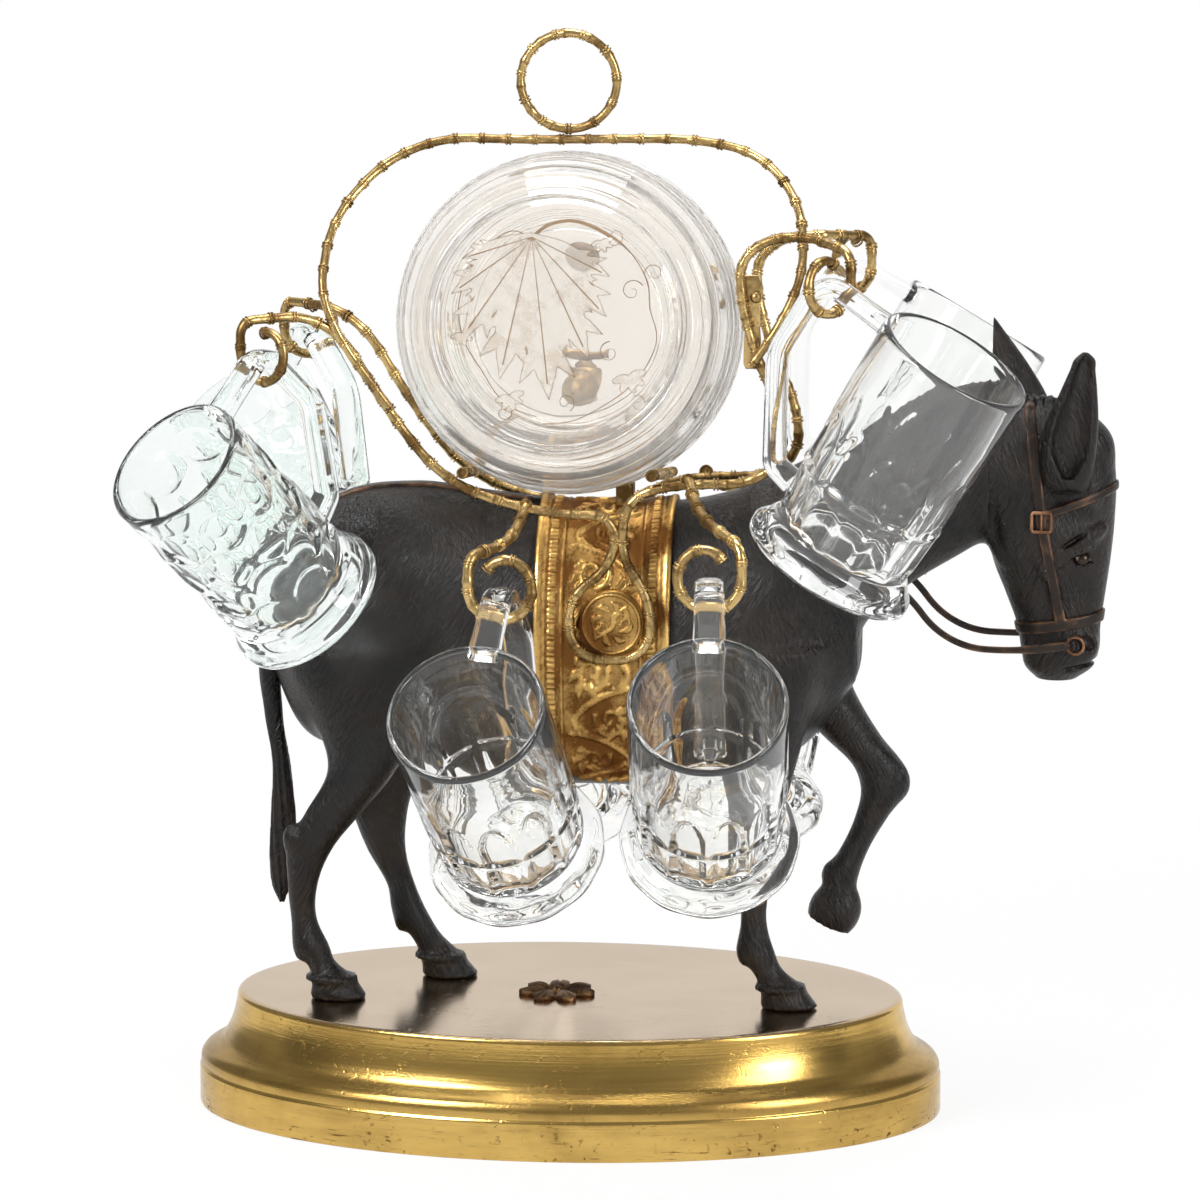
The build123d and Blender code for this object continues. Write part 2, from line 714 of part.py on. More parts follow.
def tap_body():
    """Brass tap: spigot in the head, barrel for the plug and spout below."""
    head = BARREL_LENGTH / 2 - BARREL_RIM_DEPTH
    pipe = Pos(0, TAP_DROP, head) * extrude(RegularPolygon(TAP_RADIUS, TAP_SIDES), TAP_LENGTH)
    neck = RegularPolygon(TAP_RADIUS - FIT_SHOULDER - FIT_GAP, TAP_SIDES)
    spigot = Pos(0, TAP_DROP, head - TAP_SPIGOT) * extrude(neck, TAP_SPIGOT)
    at = Pos(0, TAP_DROP, head + TAP_PLUG_AT) * Rot(90, 0, 0)
    shell = at * extrude(RegularPolygon(TAP_BARREL_RADIUS, TAP_SIDES), TAP_BARREL_HEIGHT / 2, both=True)
    spout = Pos(0, TAP_DROP, head + TAP_LENGTH - TAP_SPOUT_RADIUS) * Rot(-90, 0, 0)
    nose = spout * extrude(RegularPolygon(TAP_SPOUT_RADIUS, TAP_SIDES), TAP_SPOUT_LENGTH)
    body = pipe + spigot + shell + nose
    body -= at * Cylinder(TAP_PLUG_RADIUS + TAP_PLUG_GAP, 2 * TAP_BARREL_HEIGHT)
    return barrel_place() * body


def tap_key():
    """Plug of the tap with its crossbar handle."""
    head = BARREL_LENGTH / 2 - BARREL_RIM_DEPTH
    at = Pos(0, TAP_DROP, head + TAP_PLUG_AT) * Rot(90, 0, 0)
    reach = TAP_BARREL_HEIGHT / 2 + TAP_PLUG_PROUD
    plug = at * Cylinder(TAP_PLUG_RADIUS, 2 * reach)
    bar = at * Pos(0, 0, reach + TAP_KEY_HEIGHT / 2) * Box(TAP_KEY_SPAN, TAP_KEY_THICKNESS, TAP_KEY_HEIGHT)
    return barrel_place() * (plug + bar)


def barrel_cork():
    """Cork in the filling hole."""
    head = BARREL_LENGTH / 2 - BARREL_RIM_DEPTH
    cap = Pos(0, -CORK_RISE, head) * extrude(RegularPolygon(CORK_RADIUS, CORK_SIDES), CORK_PROUD)
    inner = RegularPolygon(CORK_RADIUS - FIT_SHOULDER - FIT_GAP, CORK_SIDES)
    plug = Pos(0, -CORK_RISE, head - BARREL_WALL) * extrude(inner, BARREL_WALL)
    return barrel_place() * (cap + plug)


def frame_drop(side):
    """How far a side's frame hangs below the near one."""
    return FRAME_DROP if side == FAR else 0.0


def upper_left_ring(side):
    """Centre of the upper left hook's ring."""
    x, z = LEFT_RING
    return Vector(x, side * UPPER_RING_OFFSET, z - frame_drop(side))


def upper_right_ring(side):
    """Centre of the upper right hook's ring."""
    x, z = RIGHT_RING
    return Vector(x, side * UPPER_RING_OFFSET, z - frame_drop(side))


def lower_ring(place, side):
    """Centre of a lower hook's ring."""
    x, z = place
    return Vector(x, side * LOWER_RING_OFFSET, z - frame_drop(side))


def scroll(side):
    """Long bent rod: left hook, cradle, loop round the medallion, right bow and right hook."""
    drop = frame_drop(side)
    y = side * FRAME_OFFSET
    left = [(1, 1), (1, -1), (-1, -1), (-1, 1)]
    right = [(1, 1), (1, -1), (-1, -1), (-1, 1)]
    tip = RING_TIP / UPPER_RING_RADIUS
    start = ring_corners(upper_left_ring(side), UPPER_RING_RADIUS, LEFT_RING_YAW, [(tip, 1)] + left, side)
    end = ring_corners(upper_right_ring(side), UPPER_RING_RADIUS, -RIGHT_RING_YAW, right + [(tip, 1)], side)
    before, after = [Vector(x, y, z - drop) for x, z in (SCROLL_LEFT_NECK, SCROLL_RIGHT_NECK)]
    middle = [Vector(x, y, z - drop) for x, z in SCROLL]
    return rod(start + [before] + middle + [after] + end, SCROLL_ROD)


def lower_hook(side, start, neck, place, mirror, frame):
    """Hook that springs from the scroll and curls into a ring which carries a lower mug."""
    drop = frame_drop(side)
    y = side * FRAME_OFFSET
    turns = [(-mirror, 1), (-mirror, -1), (mirror, -1), (mirror, LOWER_RING_END)]
    ring = ring_corners(lower_ring(place, side), LOWER_RING_RADIUS, 0, turns, side)
    x, z = place
    tip = Vector(x - mirror * LOWER_TIP[0], side * LOWER_RING_OFFSET, z - drop + LOWER_TIP[1])
    path = [
        Vector(start[0], y + side * SCROLL_ROD, start[1] - drop),
        Vector(neck[0], y + side * LOWER_NECK_OUT, neck[1] - drop),
    ]
    cut = rod(path + ring + [tip], HOOK_ROD) - frame
    return cut.solids().sort_by(SortBy.VOLUME)[-1]


def arch_point(x, z):
    """Point on the arch: upright beside the near scroll, then leaning in over the barrel."""
    foot = FRAME_OFFSET + SCROLL_ROD + ARCH_ROD + ARCH_GAP
    share = max(z - ARCH_BEND, 0.0) / (ARCH_TOP - ARCH_BEND)
    return Vector(x, foot * (share - 1), z)


def carrying_arch():
    """Arch from the left of the near scroll over the barrel to its right bow."""
    return rod([arch_point(x, z) for x, z in ARCH], ARCH_ROD)


def carrying_ring():
    """Ring on top of the arch, for a finger."""
    arch_top = arch_point(0, ARCH_TOP)
    centre_z = arch_top.Z + CARRY_RING_RADIUS + 2 * ARCH_ROD + CARRY_RING_GAP
    wire = revolve(Pos(CARRY_RING_RADIUS, 0) * RegularPolygon(ARCH_ROD, ROD_SIDES), axis=Axis.Y)
    return Pos(0, arch_top.Y, centre_z) * wire


def barrel_point(angle, radius, along):
    """Point beside the barrel: angle from straight below, radius from its axis and place along it."""
    turn = math.radians(angle)
    local = Vector(radius * math.sin(turn), radius * math.cos(turn), along)
    return (barrel_place() * Pos(local)).position


def cross_tie(angle, frames):
    """Straight tie across both scrolls, on which the barrel rests."""
    radius = BARREL_RADIUS + TIE_SEAT + TIE_ROD
    reach = FRAME_OFFSET + TIE_OVERHANG
    start = barrel_point(angle, radius, -reach)
    end = barrel_point(angle, radius, reach)
    bar = extrude(Plane(origin=start, z_dir=end - start) * RegularPolygon(TIE_ROD, ROD_SIDES), 2 * reach)
    cut = bar - frames
    return cut.solids().sort_by(SortBy.VOLUME)[-1]


def support_bar():
    """Flat bar that stands on the cloth and carries the barrel at its middle."""
    bar = Pos(BAR_PLACE, 0, BARREL_HEIGHT - BARREL_RADIUS) * Box(BAR_WIDTH, BAR_DEPTH, BAR_WIDTH * 4)
    round_barrel = barrel_place() * Cylinder(BARREL_RADIUS + TIE_SEAT, BARREL_LENGTH)
    cut = bar - round_barrel - trunk(CLOTH_THICKNESS)
    return cut.solids().sort_by(Axis.Z)[-1]


def side_bracket():
    """Flat bracket screwed across the right bow and the arch's end."""
    x, z = BRACKET_PLACE
    plate = Box(BRACKET_WIDTH, BRACKET_THICKNESS, BRACKET_HEIGHT)
    y = -FRAME_OFFSET + SCROLL_ROD + BRACKET_THICKNESS / 2 + ARCH_GAP
    return Pos(x, y, z) * plate


def bracket_screw():
    """Head of the screw that holds the bracket."""
    x, z = BRACKET_PLACE
    y = -FRAME_OFFSET + SCROLL_ROD + ARCH_GAP
    head = extrude(RegularPolygon(SCREW_RADIUS, SCREW_SIDES), SCREW_HEIGHT)
    return Pos(x + SCREW_SHIFT, y, z + SCREW_RISE) * Rot(90, 0, 0) * head


def ruled_stack(stations, sides):
    """Straight-sided loft through regular polygons, given as (height, radius)."""
    faces = [Pos(0, 0, z) * RegularPolygon(radius, sides) for z, radius in stations]
    return loft(faces, ruled=True)


def handle(height, wall_radius):
    """Strap handle: level from the rim, round the eye that hangs on the hook, and back to the wall."""
    eye_x = wall_radius + HANDLE_REACH
    eye_z = height - HANDLE_DROP
    bend = HANDLE_EYE + HANDLE_THICKNESS / 2
    x_out = eye_x + bend
    z_top = eye_z + bend
    root = wall_radius - MUG_WALL
    path = FilletPolyline(
        (root, z_top),
        (x_out, z_top),
        (x_out, eye_z - HANDLE_GRIP),
        (wall_radius + HANDLE_LOWER_REACH, HANDLE_ROOT),
        (root, HANDLE_ROOT - HANDLE_ROOT_DROP),
        radius=[bend, HANDLE_LOWER_ROUND, HANDLE_ROOT_ROUND],
    )
    wire = Plane.XZ * path
    start = Plane(origin=wire @ 0, x_dir=(0, 1, 0), z_dir=wire % 0)
    return sweep(start * Rectangle(HANDLE_WIDTH, HANDLE_THICKNESS), path=wire)


def eye_place(height, wall_radius):
    """Where the hook's wire lies in the handle's eye, in the mug's own frame."""
    return wall_radius + HANDLE_REACH, height - HANDLE_DROP


def mug_cavity(height, wall_radius):
    """Inside of a mug, widening slightly from its floor to past its mouth."""
    floor = (MUG_FLOOR, wall_radius - 2 * MUG_WALL)
    mouth = (height + MOUTH_SPARE, wall_radius - MUG_WALL + MOUTH_FLARE)
    return ruled_stack([floor, mouth], MUG_SIDES)


def panelled_mug():
    """Panelled mug with a flared foot."""
    stations = [
        (0.0, MUG_FOOT),
        (MUG_FOOT_THICKNESS, MUG_FOOT),
        (MUG_STEM_HEIGHT, MUG_STEM),
        (MUG_STEM_HEIGHT + MUG_SHOULDER, MUG_RIM),
        (MUG_HEIGHT, MUG_RIM),
    ]
    body = ruled_stack(stations, MUG_SIDES)
    return body + handle(MUG_HEIGHT, MUG_RIM) - mug_cavity(MUG_HEIGHT, MUG_RIM)


def thumbprint_tankard():
    """Slightly smaller mug with straight sides and a spreading foot."""
    stations = [
        (0.0, TANKARD_FOOT),
        (MUG_FOOT_THICKNESS, TANKARD_FOOT),
        (MUG_STEM_HEIGHT, TANKARD_RIM),
        (TANKARD_HEIGHT, TANKARD_RIM),
    ]
    body = ruled_stack(stations, MUG_SIDES)
    return body + handle(TANKARD_HEIGHT, TANKARD_RIM) - mug_cavity(TANKARD_HEIGHT, TANKARD_RIM)


def hang_drop(wire, twist):
    """How far below the wire's middle the eye's centre lies when the handle rests in the ring."""
    reach = HANDLE_WIDTH / 2 / math.cos(math.radians(twist))
    rise = reach * math.tan(math.radians(22.5))
    sideways = reach * math.sin(math.radians(twist))
    seat = math.sqrt(rise ** 2 + sideways ** 2) + wire
    return HANDLE_EYE - seat - HANG_GAP


def hanging(mug, eye, ring_centre, ring_radius, wire, side, yaw, twist, lean=None):
    """Place a mug so that its eye sits in the bottom of a ring, balanced or at a given lean.

    Returns the placed mug, the hinge's point and the hinge's direction.
    """
    x, z = eye
    balance = mug.center(CenterOf.MASS)
    rise = math.radians(lean) if lean else math.atan2(z - balance.Z, x - balance.X)
    turn = math.radians(yaw)
    heading = Vector(math.sin(turn), side * math.cos(turn), 0)
    up = Vector(0, 0, 1)
    mouth = heading * math.cos(rise) + up * math.sin(rise)
    outward = heading * -math.sin(rise) + up * math.cos(rise)
    hinge = ring_centre - up * (ring_radius + hang_drop(wire, twist))
    place = Plane(origin=hinge, x_dir=outward, z_dir=mouth).location
    return place * Pos(-x, 0, -z) * mug, hinge, mouth.cross(outward)


def mugs():
    """All eight mugs by name, each with its hinge point and direction."""
    panelled = panelled_mug()
    tankard = thumbprint_tankard()
    panelled_eye = eye_place(MUG_HEIGHT, MUG_RIM)
    tankard_eye = eye_place(TANKARD_HEIGHT, TANKARD_RIM)
    left_twist = abs(LEFT_MUG_YAW) - LEFT_RING_YAW
    right_twist = RIGHT_MUG_YAW - RIGHT_RING_YAW
    placed = {}
    for side, name in ((NEAR, "near"), (FAR, "far")):
        upper = UPPER_RING_RADIUS, SCROLL_ROD, side
        lower = LOWER_RING_RADIUS, HOOK_ROD, side
        placed[name + "_upper_left_mug"] = hanging(
            tankard, tankard_eye, upper_left_ring(side), *upper, LEFT_MUG_YAW, left_twist)
        placed[name + "_upper_right_mug"] = hanging(
            panelled, panelled_eye, upper_right_ring(side), *upper, RIGHT_MUG_YAW, right_twist, RIGHT_MUG_LEAN)
        placed[name + "_lower_left_mug"] = hanging(
            panelled, panelled_eye, lower_ring(LOWER_LEFT_RING, side), *lower, LOWER_LEFT_MUG_YAW,
            abs(LOWER_LEFT_MUG_YAW))
        placed[name + "_lower_right_mug"] = hanging(
            panelled, panelled_eye, lower_ring(LOWER_RIGHT_RING, side), *lower, LOWER_RIGHT_MUG_YAW,
            abs(LOWER_RIGHT_MUG_YAW))
    return placed


def build():
    """Every piece of the stand, by node name."""
    nodes = {}
    nodes["base_shell"] = base_shell()
    nodes["base_board"] = base_board()
    nodes["base_rosette"] = base_rosette()
    nodes["hoof_studs"] = hoof_studs()
    body = donkey_body()
    head = head_form() - body
    nodes["donkey_body"] = body
    nodes["donkey_head"] = head
    nodes["near_ear"] = ear(NEAR_EAR, NEAR) - head - body
    nodes["far_ear"] = ear(FAR_EAR, FAR) - head - body
    nodes["near_hind_leg"] = standing_leg(HIND_NEAR, HIND_NEAR_HOOF, NEAR) - body
    nodes["far_hind_leg"] = standing_leg(HIND_FAR, HIND_FAR_HOOF, FAR) - body
    nodes["near_fore_leg"] = standing_leg(FORE_NEAR, FORE_NEAR_HOOF, NEAR) - body
    nodes["far_fore_leg"] = raised_leg() - body
    nodes["tail"] = tail() - body
    cloth = saddle_cloth(body)
    nodes["saddle_cloth"] = cloth
    nodes["bridle"] = bridle() - body - nodes["near_ear"] - nodes["far_ear"]
    nodes["bridle_buckles"] = bridle_buckles()
    nodes["bit_rings"] = bit_rings()
    nodes["near_rein"] = rein(NEAR, body, head + nodes["bridle"])
    nodes["far_rein"] = rein(FAR, body, head + nodes["bridle"])
    nodes["crupper_strap"] = crupper_strap(body, cloth, nodes["tail"])
    nodes["near_medallion"] = medallion(NEAR)
    nodes["far_medallion"] = medallion(FAR)
    nodes["glass_barrel"] = glass_barrel()
    nodes["tap_body"] = tap_body()
    nodes["tap_key"] = tap_key()
    nodes["barrel_cork"] = barrel_cork()
    near_scroll = scroll(NEAR)
    far_scroll = scroll(FAR)
    nodes["near_scroll"] = near_scroll
    nodes["far_scroll"] = far_scroll
    hooks = []
    for side, frame in ((NEAR, near_scroll), (FAR, far_scroll)):
        hooks.append(lower_hook(side, LOWER_LEFT_START, LOWER_LEFT_NECK, LOWER_LEFT_RING, 1, frame))
        hooks.append(lower_hook(side, LOWER_RIGHT_START, LOWER_RIGHT_NECK, LOWER_RIGHT_RING, -1, frame))
    nodes["lower_hooks"] = Compound(children=hooks)
    nodes["carrying_arch"] = carrying_arch()
    nodes["carrying_ring"] = carrying_ring()
    frames = near_scroll + far_scroll
    ties = [cross_tie(angle, frames) for angle in TIE_ANGLES]
    for tie, place in zip(ties, ("left", "right")):
        nodes[place + "_tie"] = tie
    nodes["support_bar"] = support_bar()
    nodes["side_bracket"] = side_bracket()
    nodes["bracket_screw"] = bracket_screw()
    for name, (mug, hinge, axis) in mugs().items():
        nodes[name] = mug
        print(name, "hinge", [round(v, 4) for v in hinge], "axis", [round(v, 6) for v in axis])
    return nodes


def main():
    """Write one file for each node."""
    os.makedirs("parts", exist_ok=True)
    for name, shape in build().items():
        export_step(shape, "parts/" + name + ".step")


if __name__ == "__main__":
    main()
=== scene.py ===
import logging
import math
from dataclasses import dataclass, field
from enum import Enum
from functools import cache
from typing import Any, Callable, Iterable, Iterator, Sequence

import bpy
import numpy as np
import openvdb as vdb
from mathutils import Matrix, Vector


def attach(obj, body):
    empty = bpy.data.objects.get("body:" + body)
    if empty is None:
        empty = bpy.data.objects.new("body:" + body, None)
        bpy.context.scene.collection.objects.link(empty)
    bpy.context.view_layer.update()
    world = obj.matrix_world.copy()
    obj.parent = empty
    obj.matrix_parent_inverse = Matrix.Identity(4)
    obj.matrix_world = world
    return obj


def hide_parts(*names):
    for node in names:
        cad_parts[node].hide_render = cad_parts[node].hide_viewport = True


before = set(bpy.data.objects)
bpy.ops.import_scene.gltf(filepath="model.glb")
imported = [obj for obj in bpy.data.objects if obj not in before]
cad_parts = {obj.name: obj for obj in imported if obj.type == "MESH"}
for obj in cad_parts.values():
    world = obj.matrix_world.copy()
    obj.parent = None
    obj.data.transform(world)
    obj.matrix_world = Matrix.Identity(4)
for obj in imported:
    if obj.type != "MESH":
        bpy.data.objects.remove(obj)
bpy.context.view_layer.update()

# Liqueur stand on a pack donkey. Sizes are in millimetres, and mesh_piece makes the meshes in metres.
# X runs from the tail to the nose, Y from the near flank to the far one, Z up.

MM = 0.001
NEAR = -1
FAR = 1
SIDES = ((NEAR, "near"), (FAR, "far"))
UP = np.array([0.0, 0.0, 1.0])
BASE_TOP = 33.0
FAR_DROP = 8.5  # how much lower the far side's rods, mugs and medallion sit
LOG = logging.getLogger("stand")

Array = np.ndarray
Point = Sequence[float]
Faces = list[tuple[int, ...]]
Skin = tuple[Array, Faces]
Rows = tuple[Point, ...]
Settings = dict[Any, Any]


# Node trees

def operator(operation: str, swapped: bool = False) -> Callable[[Any, Any], "Wire"]:
    """Method that adds a Math node over a wire and another value, in either order."""
    def apply(wire: "Wire", other: Any) -> "Wire":
        """Output of the node."""
        values = (other, wire) if swapped else (wire, other)
        return wire.tree.maths(operation, *values)
    return apply


class Wire:
    """An output of a node, with Python's operators for maths."""

    __add__ = __radd__ = operator("ADD")
    __sub__ = operator("SUBTRACT")
    __rsub__ = operator("SUBTRACT", swapped=True)
    __mul__ = operator("MULTIPLY")
    __truediv__ = operator("DIVIDE")
    __pow__ = operator("POWER")

    def __init__(self, tree: "Tree", socket: bpy.types.NodeSocket) -> None:
        """Keep the tree and the output."""
        self.tree = tree
        self.socket = socket

    def clamped(self) -> "Wire":
        """The value held between 0 and 1."""
        return self.tree.maths("ADD", self, 0.0, use_clamp=True)


class Tree:
    """A node tree that is built node by node."""

    def __init__(self, tree: bpy.types.NodeTree) -> None:
        """Keep the tree's nodes and links."""
        self.nodes = tree.nodes
        self.links = tree.links

    def node(self, kind: str, settings: Settings | None = None,
             values: Settings | None = None) -> bpy.types.Node:
        """Add a node.

        Args:
            kind: the node's type.
            settings: attributes set first, such as an operation.
            values: values, sockets or wires for its inputs, by name or number.

        Returns:
            The new node.
        """
        made = self.nodes.new(kind)
        for key, value in (settings or {}).items():
            setattr(made, key, value)
        for key, value in (values or {}).items():
            self.feed(made.inputs[key], value)
        return made

    def wire(self, output: int | str, kind: str, settings: Settings | None = None,
             values: Settings | None = None) -> Wire:
        """Add a node and return one of its outputs, by name or number."""
        return Wire(self, self.node(kind, settings, values).outputs[output])

    def feed(self, target: bpy.types.NodeSocket, value: Any) -> None:
        """Set an input's value, or link a wire or socket into it."""
        source = value.socket if isinstance(value, Wire) else value
        if isinstance(source, bpy.types.NodeSocket):
            self.links.new(source, target)
        elif target.type == "RGBA" and len(value) == 3:
            target.default_value = (*value, 1.0)
        else:
            target.default_value = value

    def maths(self, operation: str, *values: Any, **settings: Any) -> Wire:
        """Output of a Math node over numbers and wires."""
        return self.wire(0, "ShaderNodeMath", {"operation": operation, **settings}, dict(enumerate(values)))


class Paint(Tree):
    """A material round one principled shader."""

    def __init__(self, name: str) -> None:
        """Start a material of a given name."""
        self.material = bpy.data.materials.new(name)
        self.material.use_nodes = True
        super().__init__(self.material.node_tree)
        self.nodes.clear()
        self.shader = self.node("ShaderNodeBsdfPrincipled")
        self.output = self.node("ShaderNodeOutputMaterial", None, {0: self.shader.outputs[0]})

    def set(self, **values: Any) -> None:
        """Set the principled shader's sockets, with underscores for the spaces in their names."""
        for key, value in values.items():
            self.feed(self.shader.inputs[key.replace("_", " ")], value)

    def place(self) -> Wire:
        """Object coordinates in metres."""
        return self.wire("Object", "ShaderNodeTexCoord")

    def coords(self, scale: Point = (1, 1, 1), turn: Point = (0, 0, 0)) -> Wire:
        """Object coordinates in metres, turned and then scaled."""
        return self.wire(0, "ShaderNodeMapping", {"vector_type": "TEXTURE"},
                         {"Vector": self.place(), "Rotation": turn,
                          "Scale": tuple(1 / factor for factor in scale)})

    def reach(self) -> Wire:
        """Distance from the object's origin in millimetres."""
        return self.wire("Value", "ShaderNodeVectorMath", {"operation": "LENGTH"}, {0: self.place()}) / MM

    def height(self) -> Wire:
        """Height in the object in millimetres."""
        return self.wire("Z", "ShaderNodeSeparateXYZ", None, {0: self.place()}) / MM

    def noise(self, scale: float, detail: float = 4.0, rough: float = 0.55, distort: float = 0.0,
              place: Wire | None = None) -> Wire:
        """Noise between 0 and 1 over object coordinates in metres."""
        return self.wire(0, "ShaderNodeTexNoise", None,
                         {"Vector": place or self.coords(), "Scale": scale, "Detail": detail,
                          "Roughness": rough, "Distortion": distort})

    def grain(self, scale: Point, detail: float = 3.0, turn: Point = (0, 0, 0), rough: float = 0.55,
              distort: float = 0.0) -> Wire:
        """Noise with a scale of its own each way."""
        return self.noise(1.0, detail, rough, distort, self.coords(scale, turn))

    def cells(self, scale: float) -> Wire:
        """Distance to the nearest of scattered points."""
        return self.wire(0, "ShaderNodeTexVoronoi", None, {"Vector": self.coords(), "Scale": scale})

    def step(self, value: Wire, low: float, high: float) -> Wire:
        """Smooth step from 0 at low to 1 at high."""
        return self.wire(0, "ShaderNodeMapRange", {"interpolation_type": "SMOOTHSTEP"},
                         {"Value": value, "From Min": low, "From Max": high})

    def blend(self, factor: Wire, a: Wire | Point, b: Wire | Point) -> Wire:
        """Colour between a and b by a factor."""
        return self.wire(2, "ShaderNodeMix", {"data_type": "RGBA"}, {0: factor, 6: a, 7: b})

    def mark(self) -> Wire:
        """The number stored on the mesh's points."""
        return self.wire("Fac", "ShaderNodeAttribute", {"attribute_name": "mark"})

    def bump(self, height: Wire, depth: float) -> None:
        """Raise the surface by a height, with depth in millimetres."""
        self.set(Normal=self.wire(0, "ShaderNodeBump", None, {"Height": height, "Distance": depth * MM}))


# Finishes

@dataclass(frozen=True)
class Brass:
    """Polished or rubbed brass with patches of brown tarnish, darkened further where the mesh is marked."""

    name: str
    bright: Point
    dull: Point
    tarnish: float
    roughness: float
    grain: float = 900.0
    # How far the mark darkens: dark joints on the rods, painted shade on the cloth and medallions.
    dark_joints_and_painted_shade: float = 0.6

    def make(self) -> bpy.types.Material:
        """Build the material; the mesh's mark is 1 at the rods' dark joints and where shade is painted into
        the cloth's recesses.
        """
        paint = Paint(self.name)
        cloud = paint.noise(70.0, 5.0)
        fine = paint.noise(self.grain, 3.0)
        spots = 1 - paint.step(paint.cells(420.0), 0.05, 0.22)
        shift = self.tarnish * 0.25
        worn = paint.step(cloud + fine * 0.25, 0.62 - shift, 0.95 - shift)
        # The mark's share is real dark joints on the rods and painted shade in the cloth's recesses.
        mask = (worn + spots * 0.25 + paint.mark() * self.dark_joints_and_painted_shade).clamped()
        paint.set(Base_Color=paint.blend(mask, self.bright, self.dull), Metallic=1.0,
                  Roughness=(mask * 0.22 + fine * 0.08 + self.roughness).clamped())
        paint.bump(fine * 0.5 + cloud, 0.05)
        return paint.material


@dataclass(frozen=True)
class BaseBrass:
    """The base's spun brass: rings of brushing, tarnish on the top face, dark specks low down and a painted
    darker reflection band round the roll.
    """

    name: str = "base_brass"

    def make(self) -> bpy.types.Material:
        """Build the material."""
        paint = Paint(self.name)
        height = paint.height()
        around = paint.grain((22.0, 22.0, 1500.0), 6.0)
        streak = paint.grain((60.0, 60.0, 420.0), 4.0)
        cloud = paint.noise(26.0, 5.0, distort=0.6)
        fine = paint.noise(1400.0, 3.0)
        low = 1 - paint.step(height, 0.5, 11.0)
        # Painted reflection: a darker band round the roll, where the brass would mirror darker surroundings.
        roll_painted_reflection = paint.step(height, 11.0, 14.0) * (1 - paint.step(height, 17.0, 25.0))
        top = paint.step(height, BASE_TOP - 0.8, BASE_TOP - 0.05)
        wall = 1 - top
        specks = (paint.step(paint.noise(520.0, 2.0), 0.58, 0.70)
                  * paint.step(paint.noise(60.0, 3.0), 0.40, 0.60))
        lines = paint.step(paint.grain((120.0, 120.0, 1900.0)), 0.60, 0.72)
        rubbed = paint.step(cloud + streak * 0.5, 0.55, 1.05)
        dark = rubbed * 0.40 + specks * (low * 0.9 + 0.15) + lines * (low * 0.8 + 0.1)
        # Adds the roll's painted reflection band to the real tarnish, specks and scratch lines.
        dark = (dark * wall + roll_painted_reflection * 0.30).clamped()
        warm = paint.blend(cloud, (0.74, 0.50, 0.15), (0.60, 0.38, 0.10))
        face = paint.blend(cloud, (0.60, 0.45, 0.29), (0.47, 0.34, 0.21))
        colour = paint.blend(top, paint.blend(dark, warm, (0.17, 0.09, 0.025)), face)
        rough = (around * wall * 0.16 + dark * 0.20 + top * (cloud * 0.08 + 0.05) + 0.09).clamped()
        paint.set(Base_Color=colour, Metallic=1.0, Roughness=rough)
        paint.bump((around * 0.6 + fine * 0.3) * wall - specks * 0.6, 0.06)
        return paint.material


@dataclass(frozen=True)
class Patina:
    """Black-brown patina over cast metal with hair strokes."""

    name: str = "dark_patina"
    dark: Point = (0.0045, 0.0036, 0.0032)
    warm: Point = (0.015, 0.010, 0.007)
    rubbed: Point = (0.085, 0.060, 0.040)

    def make(self) -> bpy.types.Material:
        """Build the material."""
        paint = Paint(self.name)
        cloud = paint.noise(55.0, 5.0)
        backward = paint.grain((1150.0, 700.0, 210.0), 3.0, (0.0, 0.55, 0.0), 0.6, 0.5)
        forward = paint.grain((1250.0, 700.0, 230.0), 3.0, (0.0, -0.35, 0.0), 0.6, 0.5)
        region = paint.step(paint.noise(22.0, 2.0), 0.42, 0.58)
        streak = paint.grain((90.0, 90.0, 2600.0), 2.0, (0.3, 0.9, 0.0))
        scratch = paint.step(streak, 0.66, 0.74)
        coat = backward * region + forward * (1 - region)
        colour = paint.blend(paint.step(cloud, 0.35, 0.75), self.dark, self.warm)
        colour = paint.blend(scratch * 0.3 + paint.step(coat, 0.58, 0.80) * 0.22, colour, self.rubbed)
        paint.set(Base_Color=colour, Metallic=0.2, Roughness=(cloud * 0.18 + coat * 0.12 + 0.18).clamped(),
                  Specular_IOR_Level=0.42)
        paint.bump(coat + cloud * 0.4, 0.75)
        return paint.material


@dataclass(frozen=True)
class Strap:
    """Brown-black strap with rubbed copper edges; the mesh's mark is 1 along the edges."""

    name: str = "copper_strap"

    def make(self) -> bpy.types.Material:
        """Build the material."""
        paint = Paint(self.name)
        cloud = paint.noise(160.0, 4.0)
        fine = paint.noise(1500.0, 3.0)
        worn = paint.step(cloud, 0.55, 0.85) * 0.5 + paint.mark() * paint.step(cloud, 0.38, 0.62) * 0.7
        colour = paint.blend(worn.clamped(), (0.020, 0.013, 0.010), (0.22, 0.11, 0.055))
        paint.set(Base_Color=colour, Metallic=0.5, Roughness=(fine * 0.2 + 0.30).clamped())
        paint.bump(fine + cloud, 0.12)
        return paint.material


@dataclass(frozen=True)
class Glass:
    """Pressed glass with slight waves, of a given depth in millimetres."""

    name: str
    tint: Point = (0.985, 0.992, 0.985)
    ripple: float = 0.05
    index: float = 1.39
    clear: float = 0.985

    def make(self) -> bpy.types.Material:
        """Build the material."""
        paint = Paint(self.name)
        smear = paint.step(paint.noise(45.0, 4.0), 0.55, 0.8)
        paint.set(Base_Color=self.tint, Transmission_Weight=self.clear, IOR=self.index,
                  Roughness=smear * 0.02)
        paint.bump(paint.noise(110.0, 2.0), self.ripple)
        return paint.material


